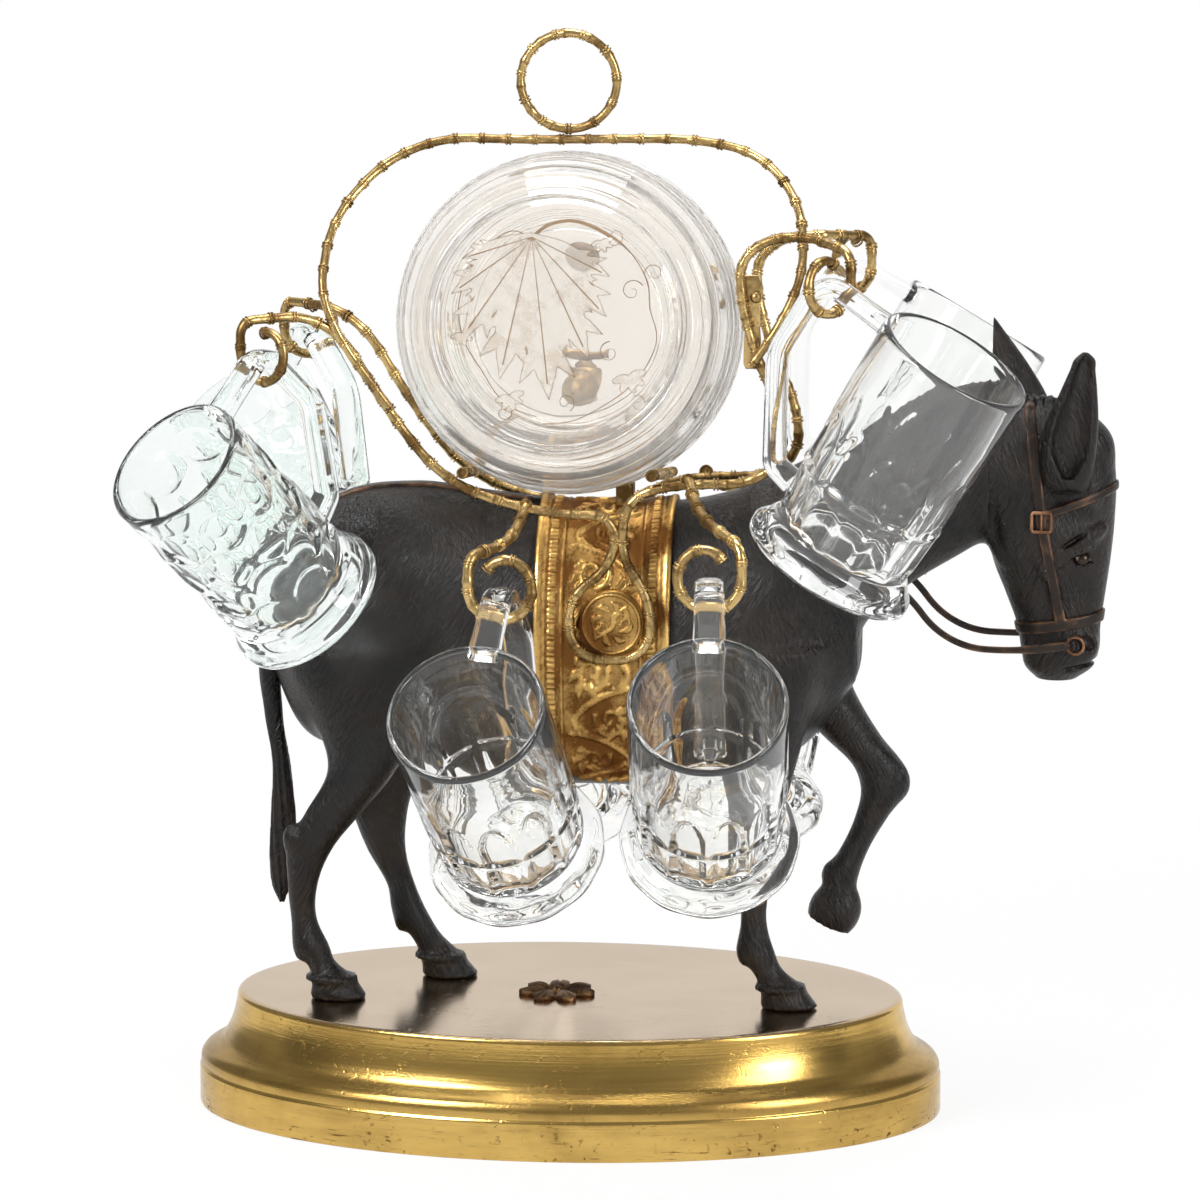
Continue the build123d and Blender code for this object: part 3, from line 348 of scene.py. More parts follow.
@dataclass(frozen=True)
class Etched:
    """Matt etched glass or the brown dust in its lines."""

    name: str
    pale: Point
    dust: Point
    cover: float

    def make(self) -> bpy.types.Material:
        """Build the material."""
        paint = Paint(self.name)
        dust = paint.step(paint.noise(130.0, 4.0), 0.45, 0.75)
        fine = paint.noise(2500.0, 2.0)
        paint.set(Base_Color=paint.blend(dust, self.pale, self.dust), Roughness=(fine * 0.2 + 0.5).clamped(),
                  Alpha=(dust * 0.25 + fine * 0.2 + self.cover).clamped())
        paint.bump(fine, 0.1)
        return paint.material


@dataclass(frozen=True)
class Wood:
    """Plain grained or speckled wood, for the board and the cork."""

    name: str
    light: Point
    dark: Point
    stretch: Point = (40.0, 400.0, 400.0)
    speck: float = 0.0

    def make(self) -> bpy.types.Material:
        """Build the material."""
        paint = Paint(self.name)
        grain = paint.grain(self.stretch, 5.0, rough=0.6, distort=0.8)
        pits = paint.step(paint.noise(900.0, 2.0), 0.62, 0.7) * self.speck
        paint.set(Base_Color=paint.blend((grain + pits).clamped(), self.light, self.dark),
                  Roughness=(grain * 0.2 + 0.6).clamped())
        paint.bump(grain - pits, 0.15)
        return paint.material


@dataclass(frozen=True)
class Steel:
    """Plain turned steel."""

    name: str = "steel_stud"

    def make(self) -> bpy.types.Material:
        """Build the material."""
        paint = Paint(self.name)
        fine = paint.noise(1200.0, 3.0)
        paint.set(Base_Color=paint.blend(fine, (0.52, 0.51, 0.49), (0.40, 0.38, 0.35)), Metallic=1.0,
                  Roughness=(fine * 0.2 + 0.3).clamped())
        paint.bump(fine, 0.05)
        return paint.material


class Finish(Enum):
    """Every finish of the stand."""

    BASE = BaseBrass()
    ROD = Brass("polished_brass", (0.63, 0.44, 0.185), (0.16, 0.09, 0.030), 0.52, 0.20)
    TAP = Brass("tap_brass", (0.72, 0.52, 0.22), (0.26, 0.15, 0.06), 0.5, 0.24)
    # The gilded cloth reads its mark at full strength, as painted shade in its recesses.
    CLOTH = Brass("gilded_cloth", (0.72, 0.46, 0.15), (0.20, 0.085, 0.022), 0.50, 0.27, 1400.0, 1.0)
    BRONZE = Brass("brown_bronze", (0.22, 0.12, 0.055), (0.05, 0.028, 0.016), 0.7, 0.36)
    PATINA = Patina()
    STRAP = Strap()
    GLASS = Glass("clear_glass")
    GREEN_GLASS = Glass("greenish_glass", (0.94, 0.98, 0.965))
    BARREL_GLASS = Glass("ribbed_glass", (0.955, 0.925, 0.885), 0.12, 1.45, 0.90)
    ETCHED = Etched("etched_glass", (0.70, 0.65, 0.58), (0.52, 0.43, 0.33), 0.16)
    DUST = Etched("etched_lines", (0.27, 0.18, 0.10), (0.10, 0.055, 0.025), 0.85)
    COPPER = Brass("copper_wire", (0.42, 0.22, 0.12), (0.12, 0.06, 0.035), 0.6, 0.32)
    EYE = Brass("eye_black", (0.060, 0.045, 0.036), (0.034, 0.026, 0.021), 0.5, 0.16)
    BOARD = Wood("board", (0.25, 0.16, 0.09), (0.13, 0.08, 0.045))
    CORK = Wood("cork", (0.66, 0.49, 0.32), (0.40, 0.27, 0.16), (500.0, 500.0, 500.0), 1.0)
    STEEL = Steel()


@cache
def material(finish: Finish) -> bpy.types.Material:
    """The one material of a finish."""
    return finish.value.make()


# Meshes

def mesh_piece(name: str, points: Array, faces: Iterable[Sequence[int]], finish: Finish,
               mark: Array | None = None) -> bpy.types.Object:
    """Make an object at the origin from points in millimetres.

    Args:
        name: the piece's name.
        points: one row for each point.
        faces: corners of each face, turned outwards here if the volume comes out negative.
        finish: what the piece is dressed in.
        mark: a number for each point that the finish reads.

    Returns:
        The linked object.
    """
    points = np.asarray(points, dtype=float)
    faces = [tuple(int(i) for i in face) for face in faces]
    if volume(points, faces) < 0:
        faces = [face[::-1] for face in faces]
    mesh = bpy.data.meshes.new(name)
    mesh.from_pydata((points * MM).tolist(), [], faces)
    if mark is not None:
        layer = mesh.attributes.new("mark", "FLOAT", "POINT")
        layer.data.foreach_set("value", np.ascontiguousarray(mark, dtype=np.float32).ravel())
    mesh.update()
    return link_mesh(name, mesh, finish)


def link_mesh(name: str, mesh: bpy.types.Mesh, finish: Finish, body: str = "stand") -> bpy.types.Object:
    """Link a mesh as a smooth object in a finish, carried by a CAD body."""
    mesh.materials.clear()
    mesh.materials.append(material(finish))
    mesh.shade_smooth()
    made = bpy.data.objects.new(name, mesh)
    bpy.context.scene.collection.objects.link(made)
    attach(made, body)
    return made


def volume(points: Array, faces: Iterable[Sequence[int]]) -> float:
    """Signed volume inside the faces."""
    fans = [(face[0], face[i], face[i + 1]) for face in faces for i in range(1, len(face) - 1)]
    a, b, c = (points[np.array([fan[i] for fan in fans])] for i in range(3))
    return float(np.einsum("ij,ij->i", a, np.cross(b, c)).sum() / 6)


def grid_faces(rows: int, columns: int, wrap_columns: bool = True, wrap_rows: bool = False) -> Faces:
    """Quads over a grid of points, row by row, closed round where asked."""
    faces = []
    for i in range(rows if wrap_rows else rows - 1):
        for j in range(columns if wrap_columns else columns - 1):
            here, below, right = i * columns, (i + 1) % rows * columns, (j + 1) % columns
            faces.append((here + j, here + right, below + right, below + j))
    return faces


def capped(rings: Array, first: Point, last: Point) -> Skin:
    """Skin over rings of points, closed at both ends by fans round a point."""
    rows, columns = rings.shape[:2]
    points = np.vstack([rings.reshape(-1, 3), first, last])
    faces = grid_faces(rows, columns)
    low, end = rows * columns, (rows - 1) * columns
    for j in range(columns):
        right = (j + 1) % columns
        faces += [(low, right, j), (low + 1, end + j, end + right)]
    return points, faces


def lathe(profile: Sequence[Point], segments: int, squeeze: float = 1.0, radii: Array | None = None) -> Skin:
    """Turn a profile round Z, with its first and last points on the axis.

    Args:
        profile: (radius, height) rows.
        segments: points round the axis.
        squeeze: scale of Y.
        radii: radius of every inner point, row by row, where it changes round the axis.

    Returns:
        Points and faces.
    """
    turn = circle(segments)
    inner = np.array(profile[1:-1], dtype=float)
    if radii is None:
        radii = np.repeat(inner[:, :1], segments, axis=1)
    rings = np.stack([radii * np.cos(turn), radii * np.sin(turn) * squeeze,
                      np.repeat(inner[:, 1:], segments, axis=1)], axis=-1)
    return capped(rings, (0, 0, profile[0][1]), (0, 0, profile[-1][1]))


def circle(count: int) -> Array:
    """Angles in radians evenly round a circle."""
    return np.linspace(0, 2 * math.pi, count, endpoint=False)


def ellipse(a: float, b: float, count: int) -> Array:
    """Points round an ellipse of half sizes a and b."""
    turn = circle(count)
    return np.stack([a * np.cos(turn), b * np.sin(turn)], axis=1)


def arc(centre: Point, radius: float, start: float, end: float, count: int) -> list[tuple[float, float]]:
    """Points of an arc in a plane, in degrees."""
    turns = np.radians(np.linspace(start, end, count))
    return [(centre[0] + radius * math.cos(t), centre[1] + radius * math.sin(t)) for t in turns]


def round_path(corners: Sequence[Point], radii: Sequence[float] | None = None, step: float = 0.7) -> Array:
    """Line through corners, each rounded by an arc as far as its shorter side allows.

    Args:
        corners: points in millimetres.
        radii: arc radius at each inner corner, or none for the largest that fits.
        step: distance between points.

    Returns:
        Evenly spaced points.
    """
    corners = [np.asarray(corner, dtype=float) for corner in corners]
    path = [corners[0]]
    for i, (before, corner, after) in enumerate(zip(corners, corners[1:], corners[2:])):
        back, ahead = before - corner, after - corner
        u, v = back / np.linalg.norm(back), ahead / np.linalg.norm(ahead)
        half = math.acos(max(-1.0, min(1.0, float(u @ v)))) / 2
        reach = min(np.linalg.norm(back), np.linalg.norm(ahead)) / 2
        if radii is not None:
            reach = radii[i] / math.tan(half)
        radius = reach * math.tan(half)
        bisector = (u + v) / max(np.linalg.norm(u + v), 1e-9)
        centre = corner + bisector * (radius / math.sin(half))
        start, end = corner + u * reach - centre, corner + v * reach - centre
        sweep = math.pi - 2 * half
        for k in range(13):
            share = k / 12
            if sweep < 1e-4:
                point = start * (1 - share) + end * share
            else:
                point = start * math.sin((1 - share) * sweep) + end * math.sin(share * sweep)
                point /= math.sin(sweep)
            path.append(centre + point)
    path.append(corners[-1])
    return even(np.array(path), step)


def even(path: Array, step: float) -> Array:
    """The same line with points at even distances."""
    runs = np.linalg.norm(np.diff(path, axis=0), axis=1)
    keep = np.r_[True, runs > 1e-6]
    path = path[keep]
    along = np.r_[0, np.cumsum(np.linalg.norm(np.diff(path, axis=0), axis=1))]
    count = max(3, int(along[-1] / step))
    places = np.linspace(0, along[-1], count)
    return np.stack([np.interp(places, along, path[:, k]) for k in range(3)], axis=1)


def frames_along(path: Array, first: Point) -> tuple[Array, Array]:
    """Two side directions at each point of a line, carried without twist."""
    tangent = np.gradient(path, axis=0)
    tangent /= np.linalg.norm(tangent, axis=1)[:, None]
    side = np.zeros_like(path)
    last = np.asarray(first, dtype=float)
    for i, t in enumerate(tangent):
        last = last - t * (last @ t)
        last /= np.linalg.norm(last)
        side[i] = last
    return side, np.cross(tangent, side)


def sweep_section(path: Array, section: Array, first: Point, scale: Array | None = None) -> Skin:
    """Closed sweep of a flat section along a line.

    Args:
        path: points of the line.
        section: (side, other side) rows.
        first: side direction at the start.
        scale: size of the section at each point, if it changes.

    Returns:
        Points and faces.
    """
    side, other = frames_along(path, first)
    size = (np.ones(len(path)) if scale is None else scale)[:, None, None]
    rings = (path[:, None] + side[:, None] * section[None, :, :1] * size
             + other[:, None] * section[None, :, 1:] * size)
    return capped(rings, path[0], path[-1])


def rounded_bar(width: float, thickness: float, count: int = 20, power: float = 3.2) -> Array:
    """Section between an oval and a rectangle."""
    c, s = np.cos(circle(count)), np.sin(circle(count))
    return np.stack([np.sign(c) * np.abs(c) ** (2 / power) * width / 2,
                     np.sign(s) * np.abs(s) ** (2 / power) * thickness / 2], axis=1)


def wire_section(diameter: float, count: int = 10) -> Array:
    """Round section."""
    return rounded_bar(diameter, diameter, count, 2.0)


def joined(parts: Sequence[Skin]) -> Skin:
    """Several point and face lists as one, each turned outwards."""
    points, faces, count = [], [], 0
    for part_points, part_faces in parts:
        part_faces = list(part_faces)
        if volume(np.asarray(part_points), part_faces) < 0:
            part_faces = [tuple(face[::-1]) for face in part_faces]
        points.append(part_points)
        faces += [tuple(i + count for i in face) for face in part_faces]
        count += len(part_points)
    return np.vstack(points), faces


def fused(name: str, first: bpy.types.Object, second: bpy.types.Object) -> bpy.types.Mesh:
    """Mesh of two closed pieces joined into one skin; both are removed."""
    union = first.modifiers.new("join", "BOOLEAN")
    union.operation = "UNION"
    union.solver = "EXACT"
    union.object = second
    graph = bpy.context.evaluated_depsgraph_get()
    mesh = bpy.data.meshes.new_from_object(first.evaluated_get(graph))
    mesh.name = name
    for piece in (first, second):
        bpy.data.objects.remove(piece)
    return mesh


# Solid forms as distance fields

@dataclass
class Spots:
    """Scattered places at which distances are read, in millimetres."""

    points: Array

    def __post_init__(self) -> None:
        """Split the points into their three coordinates."""
        self.x, self.y, self.z = self.points.T


@dataclass
class Block:
    """A box of space that is filled with distances, in millimetres."""

    low: Point
    high: Point
    step: float
    x: Array = field(init=False)
    y: Array = field(init=False)
    z: Array = field(init=False)

    def __post_init__(self) -> None:
        """Lay out the grid's three axes."""
        axes = [np.arange(a, b, self.step, dtype=np.float32) for a, b in zip(self.low, self.high)]
        self.x = axes[0][:, None, None]
        self.y = axes[1][None, :, None]
        self.z = axes[2][None, None, :]

    def skin(self, distance: Array) -> tuple[Array, Array]:
        """Quads over the surface where the distance is zero."""
        band = 3 * self.step
        held = np.clip(np.broadcast_to(distance, self.shape), -band, band).astype(np.float32)
        grid = vdb.FloatGrid(background=band)
        grid.copyFromArray(np.ascontiguousarray(held))
        points, quads = grid.convertToQuads(0.0)
        return points * self.step + np.array(self.low), quads

    @property
    def shape(self) -> tuple[int, int, int]:
        """Number of points each way."""
        return self.x.shape[0], self.y.shape[1], self.z.shape[2]


def merge(a: Array, b: Array, soft: float) -> Array:
    """Union with a soft seam."""
    share = np.clip(0.5 + 0.5 * (b - a) / soft, 0, 1)
    return b * (1 - share) + a * share - soft * share * (1 - share)


def carve(a: Array, b: Array, soft: float) -> Array:
    """a without b, with a soft edge."""
    return -merge(-a, b, soft)


def oval(u: Array, v: Array, a: Array, b: Array) -> Array:
    """Distance from an ellipse of half sizes a and b, near enough close to it."""
    scaled = np.sqrt((u / a) ** 2 + (v / b) ** 2) + 1e-6
    slope = np.sqrt((u / a ** 2) ** 2 + (v / b ** 2) ** 2) + 1e-9
    return scaled * (scaled - 1) / slope


def smooth_rows(rows: Sequence[Point], places: Array) -> Array:
    """Rows (place, values...) carried smoothly to other places, held at both ends."""
    table = np.array(sorted(rows), dtype=float)
    t, values = table[:, 0], table[:, 1:]
    slopes = np.gradient(values, t, axis=0)
    held = np.clip(places, t[0], t[-1])
    i = np.clip(np.searchsorted(t, held) - 1, 0, len(t) - 2)
    gap = (t[i + 1] - t[i])[:, None]
    s = ((held - t[i]) / gap[:, 0])[:, None]
    return ((2 * s ** 3 - 3 * s ** 2 + 1) * values[i] + (s ** 3 - 2 * s ** 2 + s) * gap * slopes[i]
            + (3 * s ** 2 - 2 * s ** 3) * values[i + 1] + (s ** 3 - s ** 2) * gap * slopes[i + 1])


def limb(block: Block, rows: Sequence[Point], axis: int) -> Array:
    """Limb along X (axis 0) or Z (axis 2).

    Args:
        block: where the distances are wanted.
        rows: place along the axis, then the middle and the half size on each of the two other axes.
        axis: number of the axis.

    Returns:
        Distances.
    """
    sides = [block.x, block.y, block.z]
    along = sides.pop(axis)
    table = smooth_rows(rows, along.ravel().astype(float)).astype(np.float32)
    u, v, a, b = (column.reshape(along.shape) for column in table.T)
    start, end = min(rows)[0], max(rows)[0]
    beyond = np.maximum(np.maximum(start - along, along - end), 0)
    distance = oval(sides[0] - u, sides[1] - v, a, b)
    return np.where(beyond > 0, np.hypot(np.maximum(distance, 0), beyond), distance)


def along_x(block: Block, rows: Sequence[Point]) -> Array:
    """Limb along X from rows (x, y, z, half Y, half Z)."""
    return limb(block, rows, 0)


def along_z(block: Block, rows: Sequence[Point]) -> Array:
    """Limb along Z from rows (z, x, y, half X, half Y)."""
    return limb(block, rows, 2)


def lump(block: Block, centre: Point, size: Point, lean: float = 0.0) -> Array:
    """Ellipsoid of three half sizes, leaned by degrees in the XZ plane."""
    c, s = math.cos(math.radians(lean)), math.sin(math.radians(lean))
    dx, dz = block.x - centre[0], block.z - centre[2]
    u, w = (dx * c + dz * s), (dz * c - dx * s)
    v = block.y - centre[1]
    scaled = np.sqrt((u / size[0]) ** 2 + (v / size[1]) ** 2 + (w / size[2]) ** 2) + 1e-6
    slope = np.sqrt((u / size[0] ** 2) ** 2 + (v / size[1] ** 2) ** 2 + (w / size[2] ** 2) ** 2) + 1e-9
    return scaled * (scaled - 1) / slope


def strip(block: Block, points: Sequence[Point], width: float) -> Array:
    """Distance from a band of a given width along a line of (x, z) points, all the way across Y."""
    best = None
    for (x0, z0), (x1, z1) in zip(points, points[1:]):
        run = (x1 - x0) ** 2 + (z1 - z0) ** 2
        share = np.clip(((block.x - x0) * (x1 - x0) + (block.z - z0) * (z1 - z0)) / run, 0, 1)
        distance = np.hypot(block.x - x0 - share * (x1 - x0), block.z - z0 - share * (z1 - z0))
        best = distance if best is None else np.minimum(best, distance)
    return best - width / 2


# The donkey

def mirrored(block: Block, form: Array, dabs: Iterable[tuple[Any, ...]]) -> Array:
    """The form with ellipsoids added or carved on both sides of the middle plane.

    Args:
        block: where the distances are wanted.
        form: distances so far.
        dabs: for each, merge or carve, its (X, distance out, Z), half sizes, lean and softness.

    Returns:
        Distances.
    """
    for side in (NEAR, FAR):
        for join, (x, out, z), size, lean, soft in dabs:
            form = join(form, lump(block, (x, side * out, z), size, lean), soft)
    return form


@dataclass
class Donkey:
    """Cast donkey: trunk, neck, head, ears, legs and tail."""

    trunk: Rows = (
        # X, lower and upper height, half width
        (-84.0, 126.0, 151.0, 7.5), (-78.0, 112.0, 165.0, 16.5), (-64.0, 102.0, 174.5, 23.0),
        (-44.0, 97.0, 178.0, 25.5), (-20.0, 94.0, 175.5, 25.8), (10.0, 93.5, 173.0, 26.0),
        (36.0, 94.0, 175.3, 25.3), (56.0, 99.0, 179.0, 22.5), (70.0, 109.0, 176.0, 18.0),
        (80.0, 123.0, 160.0, 9.5))
    neck: Rows = (
        # X, Z, half depth, half width
        (54.0, 151.0, 28.5, 17.0), (78.0, 165.5, 28.0, 13.5), (96.0, 177.0, 24.8, 11.3),
        (114.0, 185.0, 21.5, 10.0), (128.0, 189.0, 15.5, 8.6))
    head: Rows = (
        # Z, X, half depth, half width
        (203.0, 137.0, 7.0, 5.5), (197.0, 137.0, 13.5, 9.2), (185.0, 136.5, 16.5, 11.8),
        (172.0, 135.3, 17.6, 12.0), (160.0, 135.4, 16.4, 10.9), (150.0, 136.6, 13.8, 8.9),
        (141.0, 137.6, 11.6, 7.8), (134.0, 138.0, 10.8, 7.9), (129.0, 137.6, 9.0, 7.2),
        (126.2, 137.0, 5.5, 5.0))
    hind_near: Rows = (
        # X, Z, half depth, half width
        (-60.0, 134.0, 18.5, 10.5), (-56.5, 114.0, 14.0, 9.6), (-57.5, 98.0, 9.4, 7.2),
        (-65.5, 86.0, 7.8, 5.6), (-71.5, 77.0, 6.6, 4.8), (-74.0, 66.0, 4.3, 3.9), (-73.6, 55.0, 3.7, 3.5),
        (-71.6, 48.0, 4.9, 4.5), (-68.8, 43.0, 4.2, 4.2), (-66.0, 39.5, 5.6, 5.2), (-63.8, 33.0, 8.3, 6.6))
    hind_far: Rows = (
        (-56.0, 134.0, 18.5, 10.5), (-53.0, 112.0, 13.0, 9.5), (-53.0, 94.0, 8.9, 7.0),
        (-55.5, 80.0, 7.6, 5.4), (-54.0, 70.0, 5.6, 4.5), (-49.6, 59.0, 4.0, 3.6), (-46.8, 50.5, 5.0, 4.4),
        (-42.5, 44.5, 4.5, 4.3), (-38.5, 39.5, 5.8, 5.2), (-35.2, 33.0, 8.3, 6.6))
    fore_near: Rows = (
        (57.0, 136.0, 15.5, 10.0), (57.0, 114.0, 11.2, 8.8), (55.5, 96.0, 8.0, 6.9), (54.2, 84.0, 6.4, 5.4),
        (54.4, 77.0, 6.4, 5.4), (53.8, 68.0, 4.3, 4.0), (53.5, 57.0, 3.7, 3.6), (54.2, 49.5, 5.0, 4.6),
        (57.5, 43.5, 4.5, 4.3), (61.0, 39.5, 5.8, 5.2), (63.8, 33.0, 8.3, 6.6))
    fore_far: Rows = (
        (60.0, 134.0, 14.0, 10.0), (70.0, 116.0, 10.5, 8.2), (79.0, 105.0, 8.2, 6.8),
        (86.5, 96.5, 7.2, 5.9), (88.0, 90.0, 6.6, 5.6), (84.6, 82.0, 4.7, 4.2), (79.5, 72.0, 4.1, 3.8),
        (76.2, 65.5, 5.0, 4.5), (75.6, 60.5, 4.6, 4.3), (75.0, 57.0, 5.2, 4.8), (74.4, 53.0, 3.0, 3.0))
    near_ear: Rows = (
        # Z, X, Y, half X, half Y
        (178.0, 140.3, -9.6, 4.4, 3.0), (184.0, 139.8, -11.6, 6.6, 3.6), (192.0, 140.1, -12.9, 7.8, 3.9),
        (200.0, 141.1, -13.5, 7.4, 3.7), (209.0, 142.9, -13.9, 5.3, 3.0), (215.5, 144.0, -14.0, 3.6, 2.4),
        (219.2, 144.6, -14.0, 2.5, 1.9), (220.6, 144.7, -14.0, 0.9, 0.9))
    far_ear: Rows = (
        (195.0, 131.5, 6.5, 4.0, 3.0), (203.0, 128.0, 9.5, 5.8, 3.6), (213.0, 121.5, 12.0, 6.3, 3.7),
        (222.0, 116.6, 13.5, 4.4, 2.8), (226.5, 114.9, 13.9, 2.6, 1.9), (229.3, 114.0, 14.0, 0.8, 0.8))
    tail_rows: Rows = (
        # Z, X, Y, half X, half Y
        (141.0, -78.5, 0.0, 4.2, 4.2), (131.0, -83.8, 0.0, 3.5, 3.4), (112.0, -84.0, 0.0, 2.6, 2.5),
        (96.0, -81.8, 0.0, 2.5, 2.4), (82.0, -81.4, 0.0, 3.4, 3.2), (69.0, -82.0, 0.0, 3.3, 3.1),
        (60.0, -82.1, 0.0, 1.9, 1.8), (56.8, -82.0, 0.0, 0.5, 0.5))
    # Muscles where the legs join, with the hollows beside them
    muscles: tuple[Any, ...] = (
        (merge, (-60.0, 12.0, 142.0), (20.0, 9.4, 26.0), 12, 6.0),
        (merge, (57.0, 11.5, 141.0), (13.5, 9.5, 27.0), -14, 6.0),
        (merge, (72.0, 6.0, 136.0), (9.0, 6.5, 14.0), 18, 5.0),
        (carve, (-33.0, 28.0, 150.0), (9.0, 3.4, 16.0), 24, 5.0),
        (carve, (-71.0, 29.0, 157.5), (20.0, 12.2, 16.0), 0, 4.0),
        (carve, (41.0, 28.5, 140.0), (3.0, 3.6, 24.0), -14, 5.0))
    # Cheeks, brows and the sides of the muzzle
    cheeks: tuple[Any, ...] = (
        (merge, (127.0, 5.6, 172.0), (9.5, 5.6, 13.0), -12, 4.0),
        (merge, (144.2, 8.0, 167.4), (5.6, 3.4, 2.5), 25, 2.2),
        (merge, (142.8, 4.6, 135.5), (6.0, 3.8, 4.8), 20, 2.5))
    # Socket, lids and folds, measured from the eye
    lids: tuple[Any, ...] = (
        (carve, (0.6, 1.7, 0.0), (3.4, 1.5, 2.1), 20, 1.2),
        (merge, (0.0, 0.5, 1.9), (4.4, 2.0, 0.9), 22, 0.6),
        (merge, (0.4, 0.1, -2.0), (3.6, 1.3, 0.7), 12, 0.6),
        (merge, (2.0, -1.0, 6.0), (6.0, 3.0, 2.2), 30, 1.6),
        (carve, (-2.0, 2.6, 5.2), (4.5, 1.6, 0.7), 34, 0.8),
        (carve, (-3.0, 2.8, -4.6), (4.5, 1.5, 0.7), -8, 0.8))
    # Hollow behind the jaw and the cheekbone
    jaw: tuple[Any, ...] = (
        (carve, (119.5, 11.0, 166.0), (2.2, 2.6, 15.0), 8, 2.0),
        (merge, (134.0, 9.6, 158.0), (9.0, 1.6, 1.3), -62, 2.0))
    # Nostril, hollow of the muzzle and temple
    muzzle: tuple[Any, ...] = (
        (carve, (146.2, 7.2, 137.4), (1.5, 1.9, 2.7), 32, 0.9),
        (carve, (139.5, 10.2, 150.0), (5.0, 2.2, 9.0), -16, 4.0),
        (carve, (140.0, 13.4, 176.0), (6.0, 2.4, 5.0), 10, 3.0))
    # Knees, hocks and fetlocks as X, side, Z and radius
    knobs: Rows = (
        (-77.0, NEAR, 79.0, 2.6), (-60.5, FAR, 82.0, 2.4), (58.5, NEAR, 79.0, 2.6), (92.0, FAR, 92.0, 2.8),
        (-74.5, NEAR, 46.5, 2.0), (-49.5, FAR, 48.5, 2.0), (51.0, NEAR, 48.0, 2.0), (73.0, FAR, 65.0, 2.0))
    tendons: Rows = ((-72.5, NEAR, 60.0), (-52.5, FAR, 62.0), (52.5, NEAR, 62.0))
    crowns: Rows = ((-66.0, NEAR), (-38.5, FAR), (61.0, NEAR))
    crown_height: float = 39.0
    curls: int = 5
    leg_offset: float = 15.0
    eye: Point = (143.9, 8.6, 161.8)
    eye_radius: float = 2.0
    body_step: float = 0.95
    head_step: float = 0.5
    split: float = 118.5

    def sections(self) -> list[Point]:
        """Trunk rows as X, middle height, half height and half width."""
        return [(x, (low + high) / 2, (high - low) / 2, wide) for x, low, high, wide in self.trunk]

    def trunk_field(self, block: Block) -> Array:
        """Distance from the trunk alone."""
        return along_x(block, [(x, 0.0, z, wide, high) for x, z, high, wide in self.sections()])

    def neck_field(self, block: Block) -> Array:
        """Distance from the neck."""
        return along_x(block, [(x, 0.0, z, wide, deep) for x, z, deep, wide in self.neck])

    def head_field(self, block: Block) -> Array:
        """Distance from the plain head."""
        skull = along_z(block, [(z, x, 0.0, deep, wide) for z, x, deep, wide in self.head])
        return mirrored(block, skull, self.cheeks)

    def forequarters(self, block: Block) -> Array:
        """Trunk, neck and the muscles where the legs join."""
        return mirrored(block, merge(self.trunk_field(block), self.neck_field(block), 9.0), self.muscles)

    def legs(self, block: Block, form: Array) -> Array:
        """The form with its four legs, knees, hocks and hooves."""
        out = self.leg_offset
        for side, rows in ((NEAR, self.hind_near), (FAR, self.hind_far), (NEAR, self.fore_near),
                           (FAR, self.fore_far)):
            form = merge(form, along_z(block, [(z, x, side * out, a, b) for x, z, a, b in rows]), 5.0)
        for x, side, z, radius in self.knobs:
            form = merge(form, lump(block, (x, side * out, z), (radius, radius * 1.2, radius * 1.5)), 2.5)
        for x, side, z in self.tendons:
            for groove in (-4.6, 4.6):
                form = carve(form, lump(block, (x, side * out + groove, z), (1.2, 1.2, 9.0)), 1.2)
        for x, side in self.crowns:
            ring = lump(block, (x, side * out, self.crown_height), (7.3, 6.6, 5.0))
            form = merge(form, np.maximum(ring, np.abs(block.z - self.crown_height) - 0.7), 1.4)
        return np.maximum(merge(form, self.raised_hoof(block), 1.6), BASE_TOP - block.z)

    def raised_hoof(self, block: Block) -> Array:
        """Hoof of the lifted far foreleg, cut flat at its slanted sole."""
        hoof = lump(block, (74.2, FAR * self.leg_offset, 54.5), (7.4, 6.2, 8.6), -24)
        return np.maximum(hoof, 0.42 * (74.0 - block.x) + 0.91 * (49.6 - block.z))

    def face(self, block: Block, form: Array) -> Array:
        """The form with eyes, nostrils, mouth and chin."""
        x, out, z = self.eye
        lids = [(join, (x + dx, out + dy, z + dz), *rest) for join, (dx, dy, dz), *rest in self.lids]
        forelock = [
            (merge, (126.0 + 3.2 * k, 2.5 + 0.9 * k, 199.0 - 1.5 * k), (1.0, 1.2, 5.5), 18 - 9 * k, 0.7)
            for k in range(self.curls)]
        form = mirrored(block, form, (*lids, *self.jaw, *forelock, *self.muzzle))
        lips = np.maximum(np.abs(block.z - 130.2 - 0.22 * (block.x - 142.0)) - 0.55, 139.2 - block.x)
        return carve(form, np.maximum(lips, -form - 1.1), 0.7)

    def ears(self, block: Block, form: Array) -> Array:
        """The form with both ears, cupped outwards."""
        for rows, side in ((self.near_ear, NEAR), (self.far_ear, FAR)):
            full = along_z(block, rows)
            shares = np.interp(range(len(rows) - 2), [0, 1, len(rows) - 4, len(rows) - 3],
                               [0.22, 0.68, 0.66, 0.25])
            cup = [(z + 1.2, x + (0.6 if side == NEAR else 0.0), y + side * b * 0.95, a * share, b * 0.92)
                   for (z, x, y, a, b), share in zip(rows[1:-1], shares)]
            form = merge(form, carve(full, along_z(block, cup), 0.8), 1.6)
        return form

